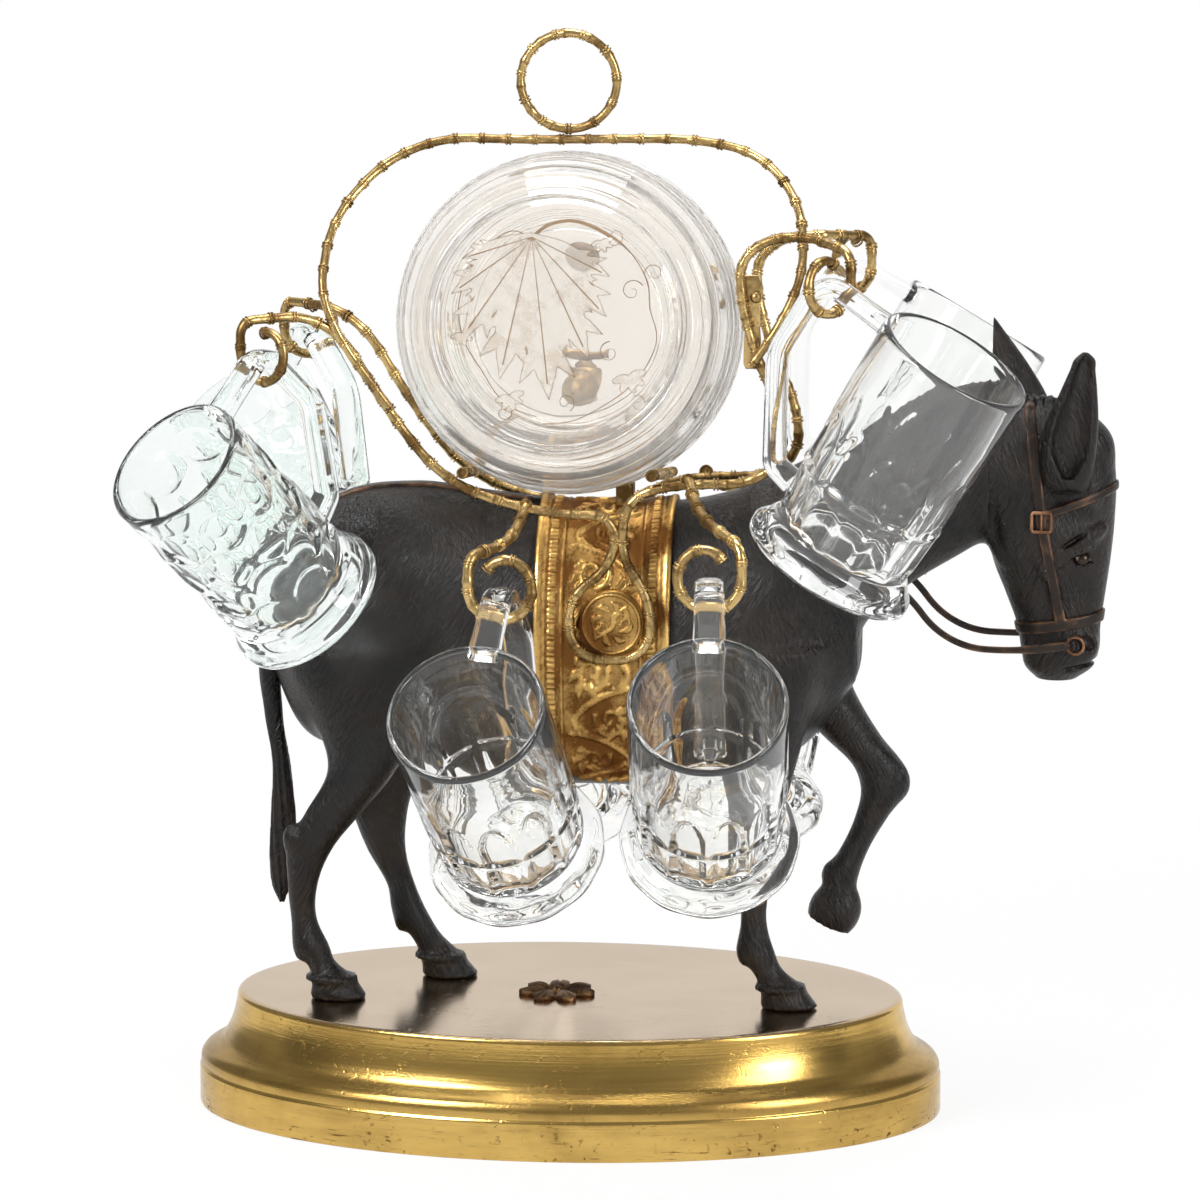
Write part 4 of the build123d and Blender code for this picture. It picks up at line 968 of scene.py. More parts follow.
    def mane(self, block: Block, form: Array) -> Array:
        """The form with a short upright mane along the crest."""
        rows = [(x, 0.0, z + deep - 0.6, 1.9, 2.6) for x, z, deep, _ in self.neck[1:]]
        rows.append((139.0, 0.0, 202.5, 2.4, 3.0))
        tufts = (0.35 * np.sin(block.x * 2.6 + 0.5 * np.sin(block.x * 1.7))
                 + 0.25 * np.sin(block.x * 5.9 + block.y * 2.0))
        return merge(form, along_x(block, rows) + tufts.astype(np.float32), 2.0)

    def whole(self, block: Block) -> Array:
        """Every form of the donkey but its legs, face, ears and tail."""
        return self.mane(block, merge(self.forequarters(block), self.head_field(block), 5.0))

    def build(self) -> None:
        """Make the body, head, eyes and tail."""
        low = Block((-92.0, -31.0, BASE_TOP - 3.0), (self.split + 3.0, 31.0, 211.0), self.body_step)
        form = np.maximum(self.legs(low, self.whole(low)), low.x - self.split)
        trunk = mesh_piece("donkey_body_and_legs", *low.skin(form), Finish.PATINA)
        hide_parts("donkey_body", "near_hind_leg", "far_hind_leg", "near_fore_leg", "far_fore_leg")
        high = Block((self.split - 6.0, -21.0, 122.0), (160.0, 21.0, 233.0), self.head_step)
        form = np.maximum(self.face(high, self.ears(high, self.whole(high))), self.split - 0.6 - high.x)
        head = mesh_piece("donkey_head_and_ears", *high.skin(form), Finish.PATINA)
        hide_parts("donkey_head", "near_ear", "far_ear")
        self.eyes()
        self.tail()

    def eyes(self) -> None:
        """Both eyeballs."""
        x, out, z = self.eye
        r = self.eye_radius
        turns = np.linspace(0.15, math.pi - 0.15, 14)
        ball, faces = lathe([(0.0, -r), *((r * math.sin(t), -r * math.cos(t)) for t in turns), (0.0, r)], 24)
        balls = [(ball * (1.25, 1.0, 1.0) + (x + 0.2, side * (out + 0.1), z), faces) for side in (NEAR, FAR)]
        mesh_piece("donkey_eyes", *joined(balls), Finish.EYE)

    def tail(self) -> None:
        """Tail with a tuft of strands."""
        block = Block((-91.0, -6.0, 54.0), (-70.0, 6.0, 146.0), 0.42)
        turn = np.arctan2(block.y, block.x + 82.0)
        grooves = 0.28 * np.sin(turn * 9 + block.z * 0.22) * np.clip((112.0 - block.z) / 20, 0.25, 1)
        form = along_z(block, self.tail_rows) + grooves.astype(np.float32)
        made = mesh_piece("donkey_tail", *block.skin(form), Finish.PATINA)
        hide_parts("tail")


@dataclass
class Harness:
    """Bridle, buckles, bit rings, reins and crupper strap."""

    donkey: Donkey
    cheek: Rows = ((129.0, 203.5), (133.0, 172.0), (138.5, 143.0))
    nose: Rows = ((119.0, 139.7), (138.0, 142.4), (155.0, 145.2))
    brow: Rows = ((131.5, 173.5), (157.0, 182.5))
    rein: Rows = (
        (140.5, 136.8), (127.0, 136.0), (113.0, 136.5), (103.5, 141.5), (96.0, 151.5), (84.0, 160.0))
    width: float = 3.1
    proud: float = 0.75
    rein_out: float = 12.95
    buckle: Point = (133.0, 172.6)
    buckle_half: float = 2.7
    buckle_out: float = 13.6
    bit: Point = (142.5, 137.0)
    bit_radius: float = 2.4
    bit_out: float = 8.9
    crupper_half: float = 2.1

    def edge(self, distance: Array) -> Array:
        """Mark along a strap's edges, where its rubbed copper shows."""
        return np.exp(-((distance + 0.15) / 0.30) ** 2)

    def bands(self, block: Block | Spots) -> Array:
        """Distance from the bridle's straps across the head."""
        bands = np.minimum(strip(block, self.cheek, self.width), strip(block, self.nose, self.width + 0.2))
        return np.minimum(bands, np.maximum(strip(block, self.brow, self.width * 0.75), 133.0 - block.x))

    def bridle(self) -> None:
        """Straps that lie on the head's skin."""
        block = Block((114.0, -18.0, 134.0), (158.0, 18.0, 207.0), 0.4)
        skin = merge(self.donkey.neck_field(block), self.donkey.head_field(block), 5.0)
        cover = -merge(-(skin - self.proud), -self.bands(block), 0.5)
        points, faces = block.skin(np.maximum(cover, -skin - 1.0))
        mark = self.edge(self.bands(Spots(points)))
        made = mesh_piece("bridle_straps", points, faces, Finish.STRAP, mark)
        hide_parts("bridle")

    def buckles(self) -> None:
        """Square wire buckles with a tongue."""
        x, z = self.buckle
        half = self.buckle_half
        corners = ((0, 1), (1, 1), (1, -1), (-1, -1), (-1, 1), (0, 1))
        parts = []
        for side in (NEAR, FAR):
            y = side * self.buckle_out
            square = round_path([(x + a * half, y, z + b * half) for a, b in corners], [0.7] * 4, 0.4)
            parts.append(sweep_section(square, wire_section(1.0), (0, 1, 0)))
            tongue = np.array([(x, y - side * 0.1, z - 2.6), (x, y + side * 0.35, z),
                               (x, y + side * 0.1, z + 2.7)])
            parts.append(sweep_section(even(tongue, 0.6), wire_section(0.7, 8), (0, 1, 0)))
        made = mesh_piece("cheek_buckles", *joined(parts), Finish.COPPER)
        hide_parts("bridle_buckles")

    def bit_rings(self) -> None:
        """Round rings at the mouth, with the bit's bar ends."""
        x, z = self.bit
        section = wire_section(0.95)
        turns = circle(32)
        outward = np.stack([np.cos(turns), 0 * turns, np.sin(turns)], axis=1)[:, None]
        parts = []
        for side in (NEAR, FAR):
            centre = np.array([x, side * self.bit_out, z])
            rings = (centre + outward * (self.bit_radius + section[:, :1])
                     + np.array([0, 1, 0]) * section[:, 1:])
            parts.append((rings.reshape(-1, 3), grid_faces(len(turns), len(section), wrap_rows=True)))
        bar = np.array([(x - 2.2, y, z) for y in (-9.0, 0.0, 9.0)])
        parts.append(sweep_section(even(bar, 1.0), wire_section(1.3), (1, 0, 0)))
        made = mesh_piece("bit_rings_and_bar", *joined(parts), Finish.COPPER)
        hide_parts("bit_rings")

    def reins(self, side: int, name: str) -> None:
        """Flat strip from the bit back to the neck, broader at the bit."""
        points = [(x, side * self.rein_out, z) for x, z in self.rein]
        points[0] = (140.5, side * 10.2, 137.2)
        points[-1] = (84.0, side * 12.6, 160.0)
        path = round_path(points, None, 0.8)
        broad = 1 + 0.35 * np.clip((path[:, 0] - 126.0) / 6.0, 0, 1)
        section = rounded_bar(0.8, 1.9, 16, 3.0)
        edges = np.tile(np.exp(-((np.abs(section[:, 1]) - 0.95) / 0.3) ** 2), len(path))
        made = mesh_piece(name + "_rein_strip", *sweep_section(path, section, (0, 1, 0), broad), Finish.STRAP,
                          np.r_[edges, 0, 0])
        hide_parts(name + "_rein")

    def crupper(self) -> None:
        """Strap along the spine, with raised edges."""
        block = Block((-88.0, -4.5, 140.0), (-4.0, 4.5, 184.0), 0.42)
        skin = self.donkey.trunk_field(block)
        band = np.maximum(np.abs(block.y) - self.crupper_half, np.maximum(block.x + 7.0, 150.0 - block.z))
        edge = 0.18 * np.exp(-((np.abs(block.y) - 1.6) / 0.35) ** 2)
        cover = -merge(-(skin - self.proud - edge.astype(np.float32)), -band, 0.5)
        points, faces = block.skin(np.maximum(cover, -skin - 1.2))
        mark = self.edge(np.abs(points[:, 1]) - self.crupper_half)
        made = mesh_piece("crupper_strip", points, faces, Finish.STRAP, mark)
        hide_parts("crupper_strap")

    def build(self) -> None:
        """Make every strap and ring."""
        self.bridle()
        self.buckles()
        self.bit_rings()
        for side, name in SIDES:
            self.reins(side, name)
        self.crupper()


# Line ornament

@dataclass
class Stroke:
    """Line of changing width in a plane."""

    points: Array
    widths: Array

    def spans(self, u: Array, v: Array) -> Iterator[tuple[Array, Array]]:
        """Distance from each of the line's straight spans, and the width there."""
        for a, b, wa, wb in zip(self.points, self.points[1:], self.widths, self.widths[1:]):
            run = max(float((b - a) @ (b - a)), 1e-9)
            share = np.clip(((u - a[0]) * (b[0] - a[0]) + (v - a[1]) * (b[1] - a[1])) / run, 0, 1)
            distance = np.hypot(u - a[0] - share * (b[0] - a[0]), v - a[1] - share * (b[1] - a[1]))
            yield distance, wa + (wb - wa) * share

    def ridge(self, u: Array, v: Array) -> Array:
        """Height of a rounded ridge along the line, 1 on its crest."""
        best = np.zeros(np.broadcast(u, v).shape)
        for distance, width in self.spans(u, v):
            best = np.maximum(best, 1 - (distance / width) ** 2)
        return np.sqrt(np.clip(best, 0, 1))

    def gap(self, u: Array, v: Array) -> Array:
        """Distance outside the line's edge."""
        return np.min([distance - width for distance, width in self.spans(u, v)], axis=0)


def volute(centre: Point, radius: float, turns: float, start: float, width: float, hand: int = 1) -> Stroke:
    """Spiral that winds in from a radius to its eye."""
    share = np.linspace(0, 1, 40)
    angle = math.radians(start) + hand * share * turns * 2 * math.pi
    reach = radius * (1 - share) ** 0.8 + 0.25
    points = np.stack([centre[0] + reach * np.cos(angle), centre[1] + reach * np.sin(angle)], axis=1)
    return Stroke(points, width * (1 - 0.45 * share))


def bent(points: Sequence[Point], widths: Sequence[float], count: int = 12) -> Stroke:
    """Smooth line through a few points, with widths given at the same points."""
    table = [(i, *point, width) for i, (point, width) in enumerate(zip(points, widths))]
    rows = smooth_rows(table, np.linspace(0, len(points) - 1, count))
    return Stroke(rows[:, :2], np.maximum(rows[:, 2], 0.03))


def relief(outline: Array, rows: int, top: Callable[[Array, Array], Array], low: float) -> Skin:
    """Closed block over an outline round the origin, with a top face of given height.

    Args:
        outline: (u, v) points round the edge.
        rows: rings from the middle to the edge.
        top: height at u and v.
        low: height of the flat underside.

    Returns:
        Points and faces.
    """
    shares = np.linspace(0, 1, rows + 1)[1:, None]
    u, v = outline[:, 0] * shares, outline[:, 1] * shares
    under = np.column_stack([outline, np.full(len(outline), low)])
    rings = np.concatenate([np.stack([u, v, top(u, v)], axis=-1), under[None]])
    return capped(rings, (0, 0, float(top(np.zeros(1), np.zeros(1))[0])), (0, 0, low))


# Base

@dataclass
class Base:
    """Spun oval base with its rosette."""

    half_length: float = 105.4
    squeeze: float = 134.0 / 211.0
    board: float = 101.6
    # Height, and how far in from the foot, of the roll and the cove above it
    cove: Rows = (
        (11.9, 0.50), (13.2, 0.35), (14.8, 0.8), (16.2, 2.0), (17.4, 4.0), (18.9, 6.2), (21.2, 7.9),
        (24.6, 9.4), (28.4, 10.4), (31.2, 10.9))
    segments: int = 256
    petals: int = 7
    rosette_place: Point = (-3.0, -4.0)
    rosette_radius: float = 11.0

    def profile(self) -> list[Point]:
        """Radius and height from the middle of the underside to the middle of the top."""
        foot, board = self.half_length, self.board
        rows = [(0.0, 4.1), (board - 0.6, 4.1), (board, 4.0), (board, 0.5), (board + 0.3, 0.0)]
        rows += [(foot - 0.7, 0.0), (foot - 0.2, 0.25), (foot, 0.8), (foot, 5.5), (foot, 10.7)]
        rows += [(foot - 0.15, 11.2), (foot - 0.7, 11.5), (foot - 0.8, 11.75), (foot - 0.45, 12.1)]
        bend = [(z, foot - inset) for z, inset in self.cove]
        heights = np.linspace(12.4, 31.0, 40)
        rows += [(float(r), float(z)) for z, r in zip(heights, smooth_rows(bend, heights)[:, 0])]
        rows += arc((foot - 12.6, 31.3), 1.7, 8, 82, 9)
        return rows + [(radius, BASE_TOP) for radius in (foot - 13.6, 80.0, 60.0, 40.0, 20.0, 6.0, 0.0)]

    def shell(self) -> None:
        """The base's body, recessed below for its board."""
        made = mesh_piece(
            "base_shell_turned", *lathe(self.profile(), self.segments, self.squeeze), Finish.BASE)
        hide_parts("base_shell")

    def petal_top(self, u: Array, v: Array) -> Array:
        """Height of the petals, with a rib and sunk between and at the rim, and of the domed middle."""
        radius = np.hypot(u, v)
        lobe = np.abs(np.cos((np.arctan2(v, u) - math.pi / 2) * self.petals / 2))
        cup = 0.5 + 1.7 * np.sin(np.clip(radius / self.rosette_radius, 0, 1) * 2.7) * lobe ** 0.8
        rib = -0.45 * np.exp(-((1 - lobe) / 0.02) ** 2) * np.clip(radius / 4 - 0.7, 0, 1)
        dome = (1.7 * np.sqrt(np.clip(1 - (radius / 2.6) ** 2, 0, 1))
                - 0.6 * np.exp(-((radius - 3.2) / 0.7) ** 2))
        return BASE_TOP + np.clip(cup + rib + dome, 0.25, 3.0)

    def rosette(self) -> None:
        """Flower with cupped petals and a domed middle."""
        lobe = np.abs(np.cos((circle(160) - math.pi / 2) * self.petals / 2))
        reach = self.rosette_radius * (0.62 + 0.38 * lobe ** 1.1)
        points, faces = relief(ellipse(1.0, 1.0, 160) * reach[:, None], 40, self.petal_top, BASE_TOP - 0.4)
        made = mesh_piece("base_rosette_flower", points + (*self.rosette_place, 0), faces, Finish.BRONZE)
        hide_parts("base_rosette")

    def build(self) -> None:
        """Make the base's pieces."""
        self.shell()
        self.rosette()


# Saddle cloth and medallions

@dataclass
class Cloth:
    """Embossed sheet over the back, with its medallions."""

    donkey: Donkey
    rear: float = -7.5
    front: float = 30.5
    bottom: float = 97.0
    corner: float = 17.0
    thickness: float = 1.2
    rows: int = 470
    columns: int = 92
    # Distance from the middle line, breadth and height of the raised lines along the sheet
    beads: Rows = (
        (18.0, 0.55, 0.30), (15.6, 0.35, 0.24), (12.4, 0.35, 0.24), (11.2, 0.50, 0.34))
    tick_band: Point = (12.9, 15.1)
    tick_pitch: float = 1.25
    panel: float = 10.6
    border: float = 15.9
    repeat: float = 11.5
    medallion: Point = (14.5, 144.5)
    medallion_size: Point = (17.6, 18.4)
    medallion_out: float = 27.9

    def strokes(self) -> list[Stroke]:
        """Scrolling stem with leaves in the panel, across from the middle line and down the sheet."""
        found = []
        for k in range(-1, 9):
            v, hand = 6.5 + self.repeat * k, 1 if k % 2 else -1
            stem = [(hand * u, v + w) for u, w in ((6.5, -6), (-1.5, -3.5), (-7.5, 1.5), (-6.0, 6))]
            found.append(bent(stem, [0.7, 0.95, 0.9, 0.6]))
            found.append(volute((hand * 2.6, v + 1.8), 4.4, 1.35, 200 if hand > 0 else -20, 0.85, -hand))
            for turn, reach in ((20, 4.6), (62, 5.4), (104, 5.2), (150, 4.4), (-30, 3.8)):
                t = math.radians(turn)
                tip = (hand * (2.6 + reach * 1.35 * math.cos(t)), v + 1.8 + reach * 1.25 * math.sin(t))
                root = (hand * (2.6 + 2.4 * math.cos(t - 0.5)), v + 1.8 + 2.4 * math.sin(t - 0.5))
                mid = ((tip[0] + root[0]) / 2 + hand * 0.7, (tip[1] + root[1]) / 2 - 0.5)
                found.append(bent([root, mid, tip], [0.5, 1.25, 0.15], 7))
            for side in (-1, 1):
                bud = [(hand * -6.0, v + 3), (hand * -6.0 + side * 1.6, v + 5.5),
                       (hand * -6.2 + side * 3.4, v + 5.2)]
                found.append(bent(bud, [0.4, 0.85, 0.15], 6))
        return found

    def relief(self, u: Array, along: Array) -> Array:
        """Height of the embossing at a place across from the middle line and down one flank."""
        edge = np.abs(u)
        height = sum(rise * np.exp(-((edge - place) / breadth) ** 2) for place, breadth, rise in self.beads)
        ticks = np.clip(0.5 + 0.9 * np.sin(along * 2 * math.pi / self.tick_pitch), 0, 1)
        height += 0.50 * ticks * ((edge > self.tick_band[0]) & (edge < self.tick_band[1]))
        panel = edge < self.panel
        art = np.zeros(u.shape)
        for stroke in self.strokes():
            near = (np.abs(along - stroke.points[:, 1].mean()) < 13) & panel
            if near.any():
                art[near] = np.maximum(art[near], stroke.ridge(u[near], along[near]))
        ground = 0.07 * np.sin(u * 7.1) * np.sin(along * 7.3)
        height += np.where(panel, 0.85 * art + ground * (art < 0.05), 0)
        height += np.where(edge > self.border, 0.26 + 0.05 * np.sin(u * 9) * np.sin(along * 8.3), 0)
        return height + 0.03 * np.sin(u * 2.3 + along * 0.7) * np.sin(along * 1.9)

    def sheet(self) -> None:
        """The sheet with its relief outside, closed along all its edges."""
        top = np.linspace(-1, 1, self.rows)[:, None]
        across = np.linspace(-1, 1, self.columns)[None, :]
        middle, half = (self.rear + self.front) / 2, (self.front - self.rear) / 2
        centre, reach, _ = smooth_rows(self.donkey.sections(), np.array([middle]))[0]
        start = math.asin((self.bottom - centre) / (reach + self.thickness))
        turn = math.pi / 2 + top * (math.pi / 2 - start)
        height = centre + (reach + self.thickness) * np.sin(turn)
        rise = np.clip(self.corner - (height - self.bottom), 0, self.corner)
        inset = self.corner - np.sqrt(np.clip(self.corner ** 2 - rise ** 2, 0, None))
        x = middle + across * (half - inset)
        rows = smooth_rows(self.donkey.sections(), x.ravel())
        zc, high, wide = (column.reshape(x.shape) for column in rows.T)
        raised = self.relief(x - middle, np.abs(top) * (math.pi / 2 - start) * 33.0 + 0 * x)
        layers = [np.stack([x, -(wide + out) * np.cos(turn), zc + (high + out) * np.sin(turn)], axis=-1)
                  for out in (self.thickness + raised, -0.25)]
        # Painted shade: the mark darkens the low ground round the relief and the flanks of the raised lines.
        mark = 0.36 * (1 - np.clip(raised / 0.3, 0, 1)) + 0.9 * np.exp(-((raised - 0.17) / 0.11) ** 2)
        made = mesh_piece("saddle_cloth_embossed", np.reshape(layers, (-1, 3)), self.closed_grid(),
                          Finish.CLOTH, np.r_[mark.ravel(), mark.ravel()])
        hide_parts("saddle_cloth")

    def closed_grid(self) -> Faces:
        """Faces of two stacked grids joined round their edges."""
        r, c = self.rows, self.columns
        upper = grid_faces(r, c, wrap_columns=False)
        lower = [tuple(i + r * c for i in face[::-1]) for face in upper]
        border = [i * c for i in range(r)] + [(r - 1) * c + j for j in range(1, c)]
        border += [i * c + c - 1 for i in range(r - 2, -1, -1)] + list(range(c - 2, 0, -1))
        sides = [(a, b, b + r * c, a + r * c) for a, b in zip(border, border[1:] + border[:1])]
        return upper + lower + sides

    def spray(self) -> list[Stroke]:
        """Scrolls, stem and leaves of a medallion."""
        art = [volute((-2.6, -0.6), 2.7, 1.2, 90, 0.5), volute((2.6, 0.8), 2.7, 1.2, -90, 0.5),
               bent([(-4.6, -4.4), (0.3, -1.0), (0.6, 2.2), (4.4, 5.0)], [0.4, 0.7, 0.6, 0.3])]
        for turn in range(15, 360, 45):
            t = math.radians(turn)
            leaf = [(a * math.cos(t + twist), b * math.sin(t + twist))
                    for a, b, twist in ((3.4, 3.6, 0.0), (5.0, 5.3, 0.22), (5.9, 6.2, 0.5))]
            art.append(bent(leaf, [0.4, 0.95, 0.15], 6))
        return art

    def boss_top(self, u: Array, v: Array) -> Array:
        """Height of a medallion's rope rim, sunk field and leaves."""
        a, b = self.medallion_size
        share = np.hypot(u / (a / 2), v / (b / 2))
        rope = 0.10 * np.sin(np.arctan2(v, u) * 44 + share * 30)
        rim = (0.55 + rope) * np.exp(-((share - 0.91) / 0.055) ** 2)
        raised = np.max([stroke.ridge(u, v) for stroke in self.spray()], axis=0)
        return rim + 0.45 * raised * (share < 0.84) - 0.15 * share ** 6

    def medallions(self) -> None:
        """A medallion on each flank, the far one lower."""
        a, b = self.medallion_size
        x, z = self.medallion
        points, faces = relief(ellipse(a / 2, b / 2, 120), 60, self.boss_top, -7.5)
        u, v, raised = points.T
        # Painted shade: the mark darkens the sunk field and the flanks of the rim and leaves.
        mark = 0.25 * (1 - np.clip(raised / 0.3, 0, 1)) + 0.8 * np.exp(-((raised - 0.14) / 0.09) ** 2)
        for side, name in SIDES:
            drop = FAR_DROP if side == FAR else 0.0
            placed = np.stack([x - u * side, side * (self.medallion_out + raised), z - drop + v], axis=1)
            made = mesh_piece(name + "_medallion_embossed", placed, faces, Finish.CLOTH, mark)
            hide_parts(name + "_medallion")

    def build(self) -> None:
        """Make the sheet and both medallions."""
        self.sheet()
        self.medallions()


# Barrel, tap and cork

@dataclass
class Barrel:
    """Hooped glass barrel with an etched leaf, its tap, key and cork."""

    centre: Point = (0.6, 0.0, 224.6)
    tilt: float = 9.0
    half: float = 37.0
    recess: float = 33.0
    rim: float = 34.5
    # Place along the axis and radius, for one half
    staves: Rows = ((6.7, 47.6), (20.7, 46.2), (33.4, 40.6))
    glass_wall: float = 5.2
    hoop_pitch: float = 5.3
    segments: int = 192
    tap_drop: float = 20.0
    plug_at: float = 15.0
    cork_rise: float = 20.0
    stem: Point = (-8.0, 23.5)
    # Direction in degrees and length of each lobe of the leaf
    lobes: Rows = (
        (198, 20.0), (216, 27.0), (236, 34.0), (258, 40.0), (277, 45.0), (296, 37.0), (314, 30.0),
        (334, 24.0))
    # X, Y and size of each flower
    flowers: Rows = (
        (11.5, 22.5, 2.6), (19.5, -14.5, 4.0), (-27.0, -3.5, 2.8), (-13.5, -20.5, 3.4))
    # X, Y, radius, start in degrees and hand of each curl
    curls: Rows = (
        (20, 9, 3.0, 30, 1), (26, 14, 2.4, 180, -1), (15, 24, 2.6, 200, 1), (-24, 14, 2.6, 0, -1),
        (14, -8, 2.8, 90, 1), (22, -22, 2.2, 120, -1), (2, -22, 2.4, -60, 1), (-15, -25, 2.2, 60, -1))

    def placed(self, points: Array) -> Array:
        """Points of the barrel's own frame (Z towards the far head, Y down) in the stand's frame."""
        c, s = math.cos(math.radians(self.tilt)), math.sin(math.radians(self.tilt))
        x, y, z = points.T
        return np.stack([x + self.centre[0], z * c - y * s, self.centre[2] - z * s - y * c], axis=1)

    def bulge(self, rows: Iterable[Point], places: Array) -> Array:
        """Radius at places along the axis, from (place, radius) rows of one half."""
        table = [(side * place, radius) for side in (-1, 1) for place, radius in rows]
        return smooth_rows(table, places)[:, 0]

    def wall(self) -> list[Point]:
        """Outer radius and place along the axis, with hoops."""
        places = np.linspace(-34.4, 34.4, 150)
        base = self.bulge((*self.staves, (self.half, 37.6)), places)
        hoops = np.abs(np.sin(places * math.pi / self.hoop_pitch)) ** 0.7
        share = np.clip((np.abs(places) - 6.0) / 2.0, 0, 1)
        return list(zip(base - 0.9 + 1.15 * hoops * share, places))

    def hollow(self) -> list[Point]:
        """Radius and place along the axis of the hollow inside."""
        end = [(0.0, -30.0), (24.0, -30.0), (30.6, -29.7), (32.4, -28.4)]
        places = np.linspace(-27.0, 27.0, 40)[1:-1]
        wall = zip(self.bulge(self.staves, places) - self.glass_wall, places)
        return [*end, *wall, *((r, -z) for r, z in reversed(end))]

    def glass(self) -> None:
        """Thick glass with recessed heads and a hollow inside."""
        head, half, rim = self.recess, self.half, self.rim
        near = [(0.0, -head), (20.0, -head), (rim - 1.2, -head), (rim - 0.4, -head - 0.4), (rim, -head - 1.4),
                (rim + 0.3, -half + 0.9), (rim + 0.9, -half + 0.2), (rim + 1.8, -half),
                (rim + 2.9, -half + 0.3), (rim + 3.5, -half + 1.2), (rim + 3.9, -half + 1.9)]
        outer = near + self.wall() + [(r, -z) for r, z in reversed(near)]
        points, faces = lathe(outer, self.segments)
        inside, inside_faces = lathe(self.hollow(), self.segments)
        faces += [tuple(i + len(points) for i in face[::-1]) for face in inside_faces]
        made = mesh_piece("glass_barrel_hooped", self.placed(np.vstack([points, inside])), faces,
                          Finish.BARREL_GLASS)
        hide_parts("glass_barrel")

    def leaf(self, u: Array, v: Array) -> Array:
        """Distance outside the etched leaf and its flowers."""
        strokes = self.petals()
        stem = np.array(self.stem)
        for turn, reach in self.lobes:
            t = math.radians(turn)
            ahead, aside = np.array([math.cos(t), math.sin(t)]), np.array([-math.sin(t), math.cos(t)])
            strokes.append(bent([stem + ahead * reach * s for s in (0.0, 0.35, 0.7, 1.0)],
                                [1.2, reach * 0.12, reach * 0.10, 0.1]))
            for s, sign in ((0.62, 1), (0.62, -1), (0.80, 1), (0.80, -1)):
                root = stem + ahead * reach * (s - 0.16)
                tip = stem + ahead * reach * (s + 0.08) + aside * sign * reach * 0.17
                strokes.append(bent([root, (root + tip) / 2, tip], [reach * 0.05, reach * 0.045, 0.08], 5))
        return np.min([stroke.gap(u, v) for stroke in strokes], axis=0)

    def lines(self, u: Array, v: Array) -> Array:
        """Distance outside the leaf's edge lines and veins and the tendrils round it."""
        body = self.leaf(u, v)
        stem = np.array(self.stem)
        found = [np.abs(body) - 0.10]
        for turn, reach in self.lobes:
            tip = stem + reach * 0.9 * np.array([math.cos(math.radians(turn)), math.sin(math.radians(turn))])
            found.append(Stroke(np.array([stem, tip]), np.array([0.12, 0.22])).gap(u, v))
        found += [np.maximum(stroke.gap(u, v), -body) for stroke in self.vines()]
        return np.min(found, axis=0)

    def vines(self) -> list[Stroke]:
        """Thin curling tendrils round the leaf."""
        stem = self.stem
        found = [
            bent([stem, (-3, 27), (4, 28), (12, 25), (19, 20), (24, 12), (25, 4)],
                 [0.5] * 4 + [0.2] * 3, 40),
            bent([stem, (-14, 25), (-21, 20), (-26, 12), (-28, 3), (-26, -6), (-21, -14)],
                 [0.18] * 7, 40),
            bent([(25, 4), (27, -4), (24, -12), (19, -18), (12, -23), (4, -27), (-4, -28)],
                 [0.16] * 7, 40),
            bent([(-21, -14), (-17, -20), (-12, -24), (-6, -26)], [0.16] * 4, 24)]
        return found + [volute((x, y), radius, 1.2, start, 0.16, hand)
                        for x, y, radius, start, hand in self.curls]

    def petals(self) -> list[Stroke]:
        """Round petals of the small flowers."""
        found = []
        for x, y, size in self.flowers:
            for k in range(5):
                t = math.radians(44 * k - 160)
                tip = (x + size * math.cos(t), y + size * math.sin(t))
                middle = ((x + tip[0]) / 2, (y + tip[1]) / 2)
                found.append(bent([(x, y), middle, tip], [0.3, size * 0.30, size * 0.2], 6))
        return found

    def etching(self) -> None:
        """The ornament as two thin layers on the near head: matt fill, and brown lines over it."""
        for name, layer, step, lift, finish in (("barrel_etched_leaf", self.leaf, 0.30, 0.05, Finish.ETCHED),
                                                ("barrel_etched_lines", self.lines, 0.17, 0.14, Finish.DUST)):
            block = Block((-33.0, -33.0, -3 * step), (33.0, 33.0, 3.2 * step), step)
            u, v = np.broadcast_arrays(block.x[:, :, 0], block.y[:, :, 0])
            flat = np.maximum(layer(u, v), np.hypot(u, v) - 32.6)[:, :, None]
            points, quads = block.skin(np.maximum(flat, np.abs(block.z) - step))
            depth = points[:, 2] * 0.1 / step - self.recess - lift
            flipped = np.stack([points[:, 0], -points[:, 1], depth], axis=1)
            mesh_piece(name, self.placed(flipped), quads, finish)

    def turned(self, rows: Sequence[Point]) -> Skin:
        """Solid turned round its own Z, closed flat at both ends."""
        return lathe([(0.0, rows[0][1]), *rows, (0.0, rows[-1][1])], 40)

    def upright(self, skin: Skin, depth: float, hand: int = 1) -> Skin:
        """A turned solid stood across the tap's pipe, at a distance from the barrel's head."""
        (x, y, z), faces = skin[0].T, skin[1]
        return np.stack([x, self.tap_drop + hand * z, self.recess + depth + y], axis=1), faces

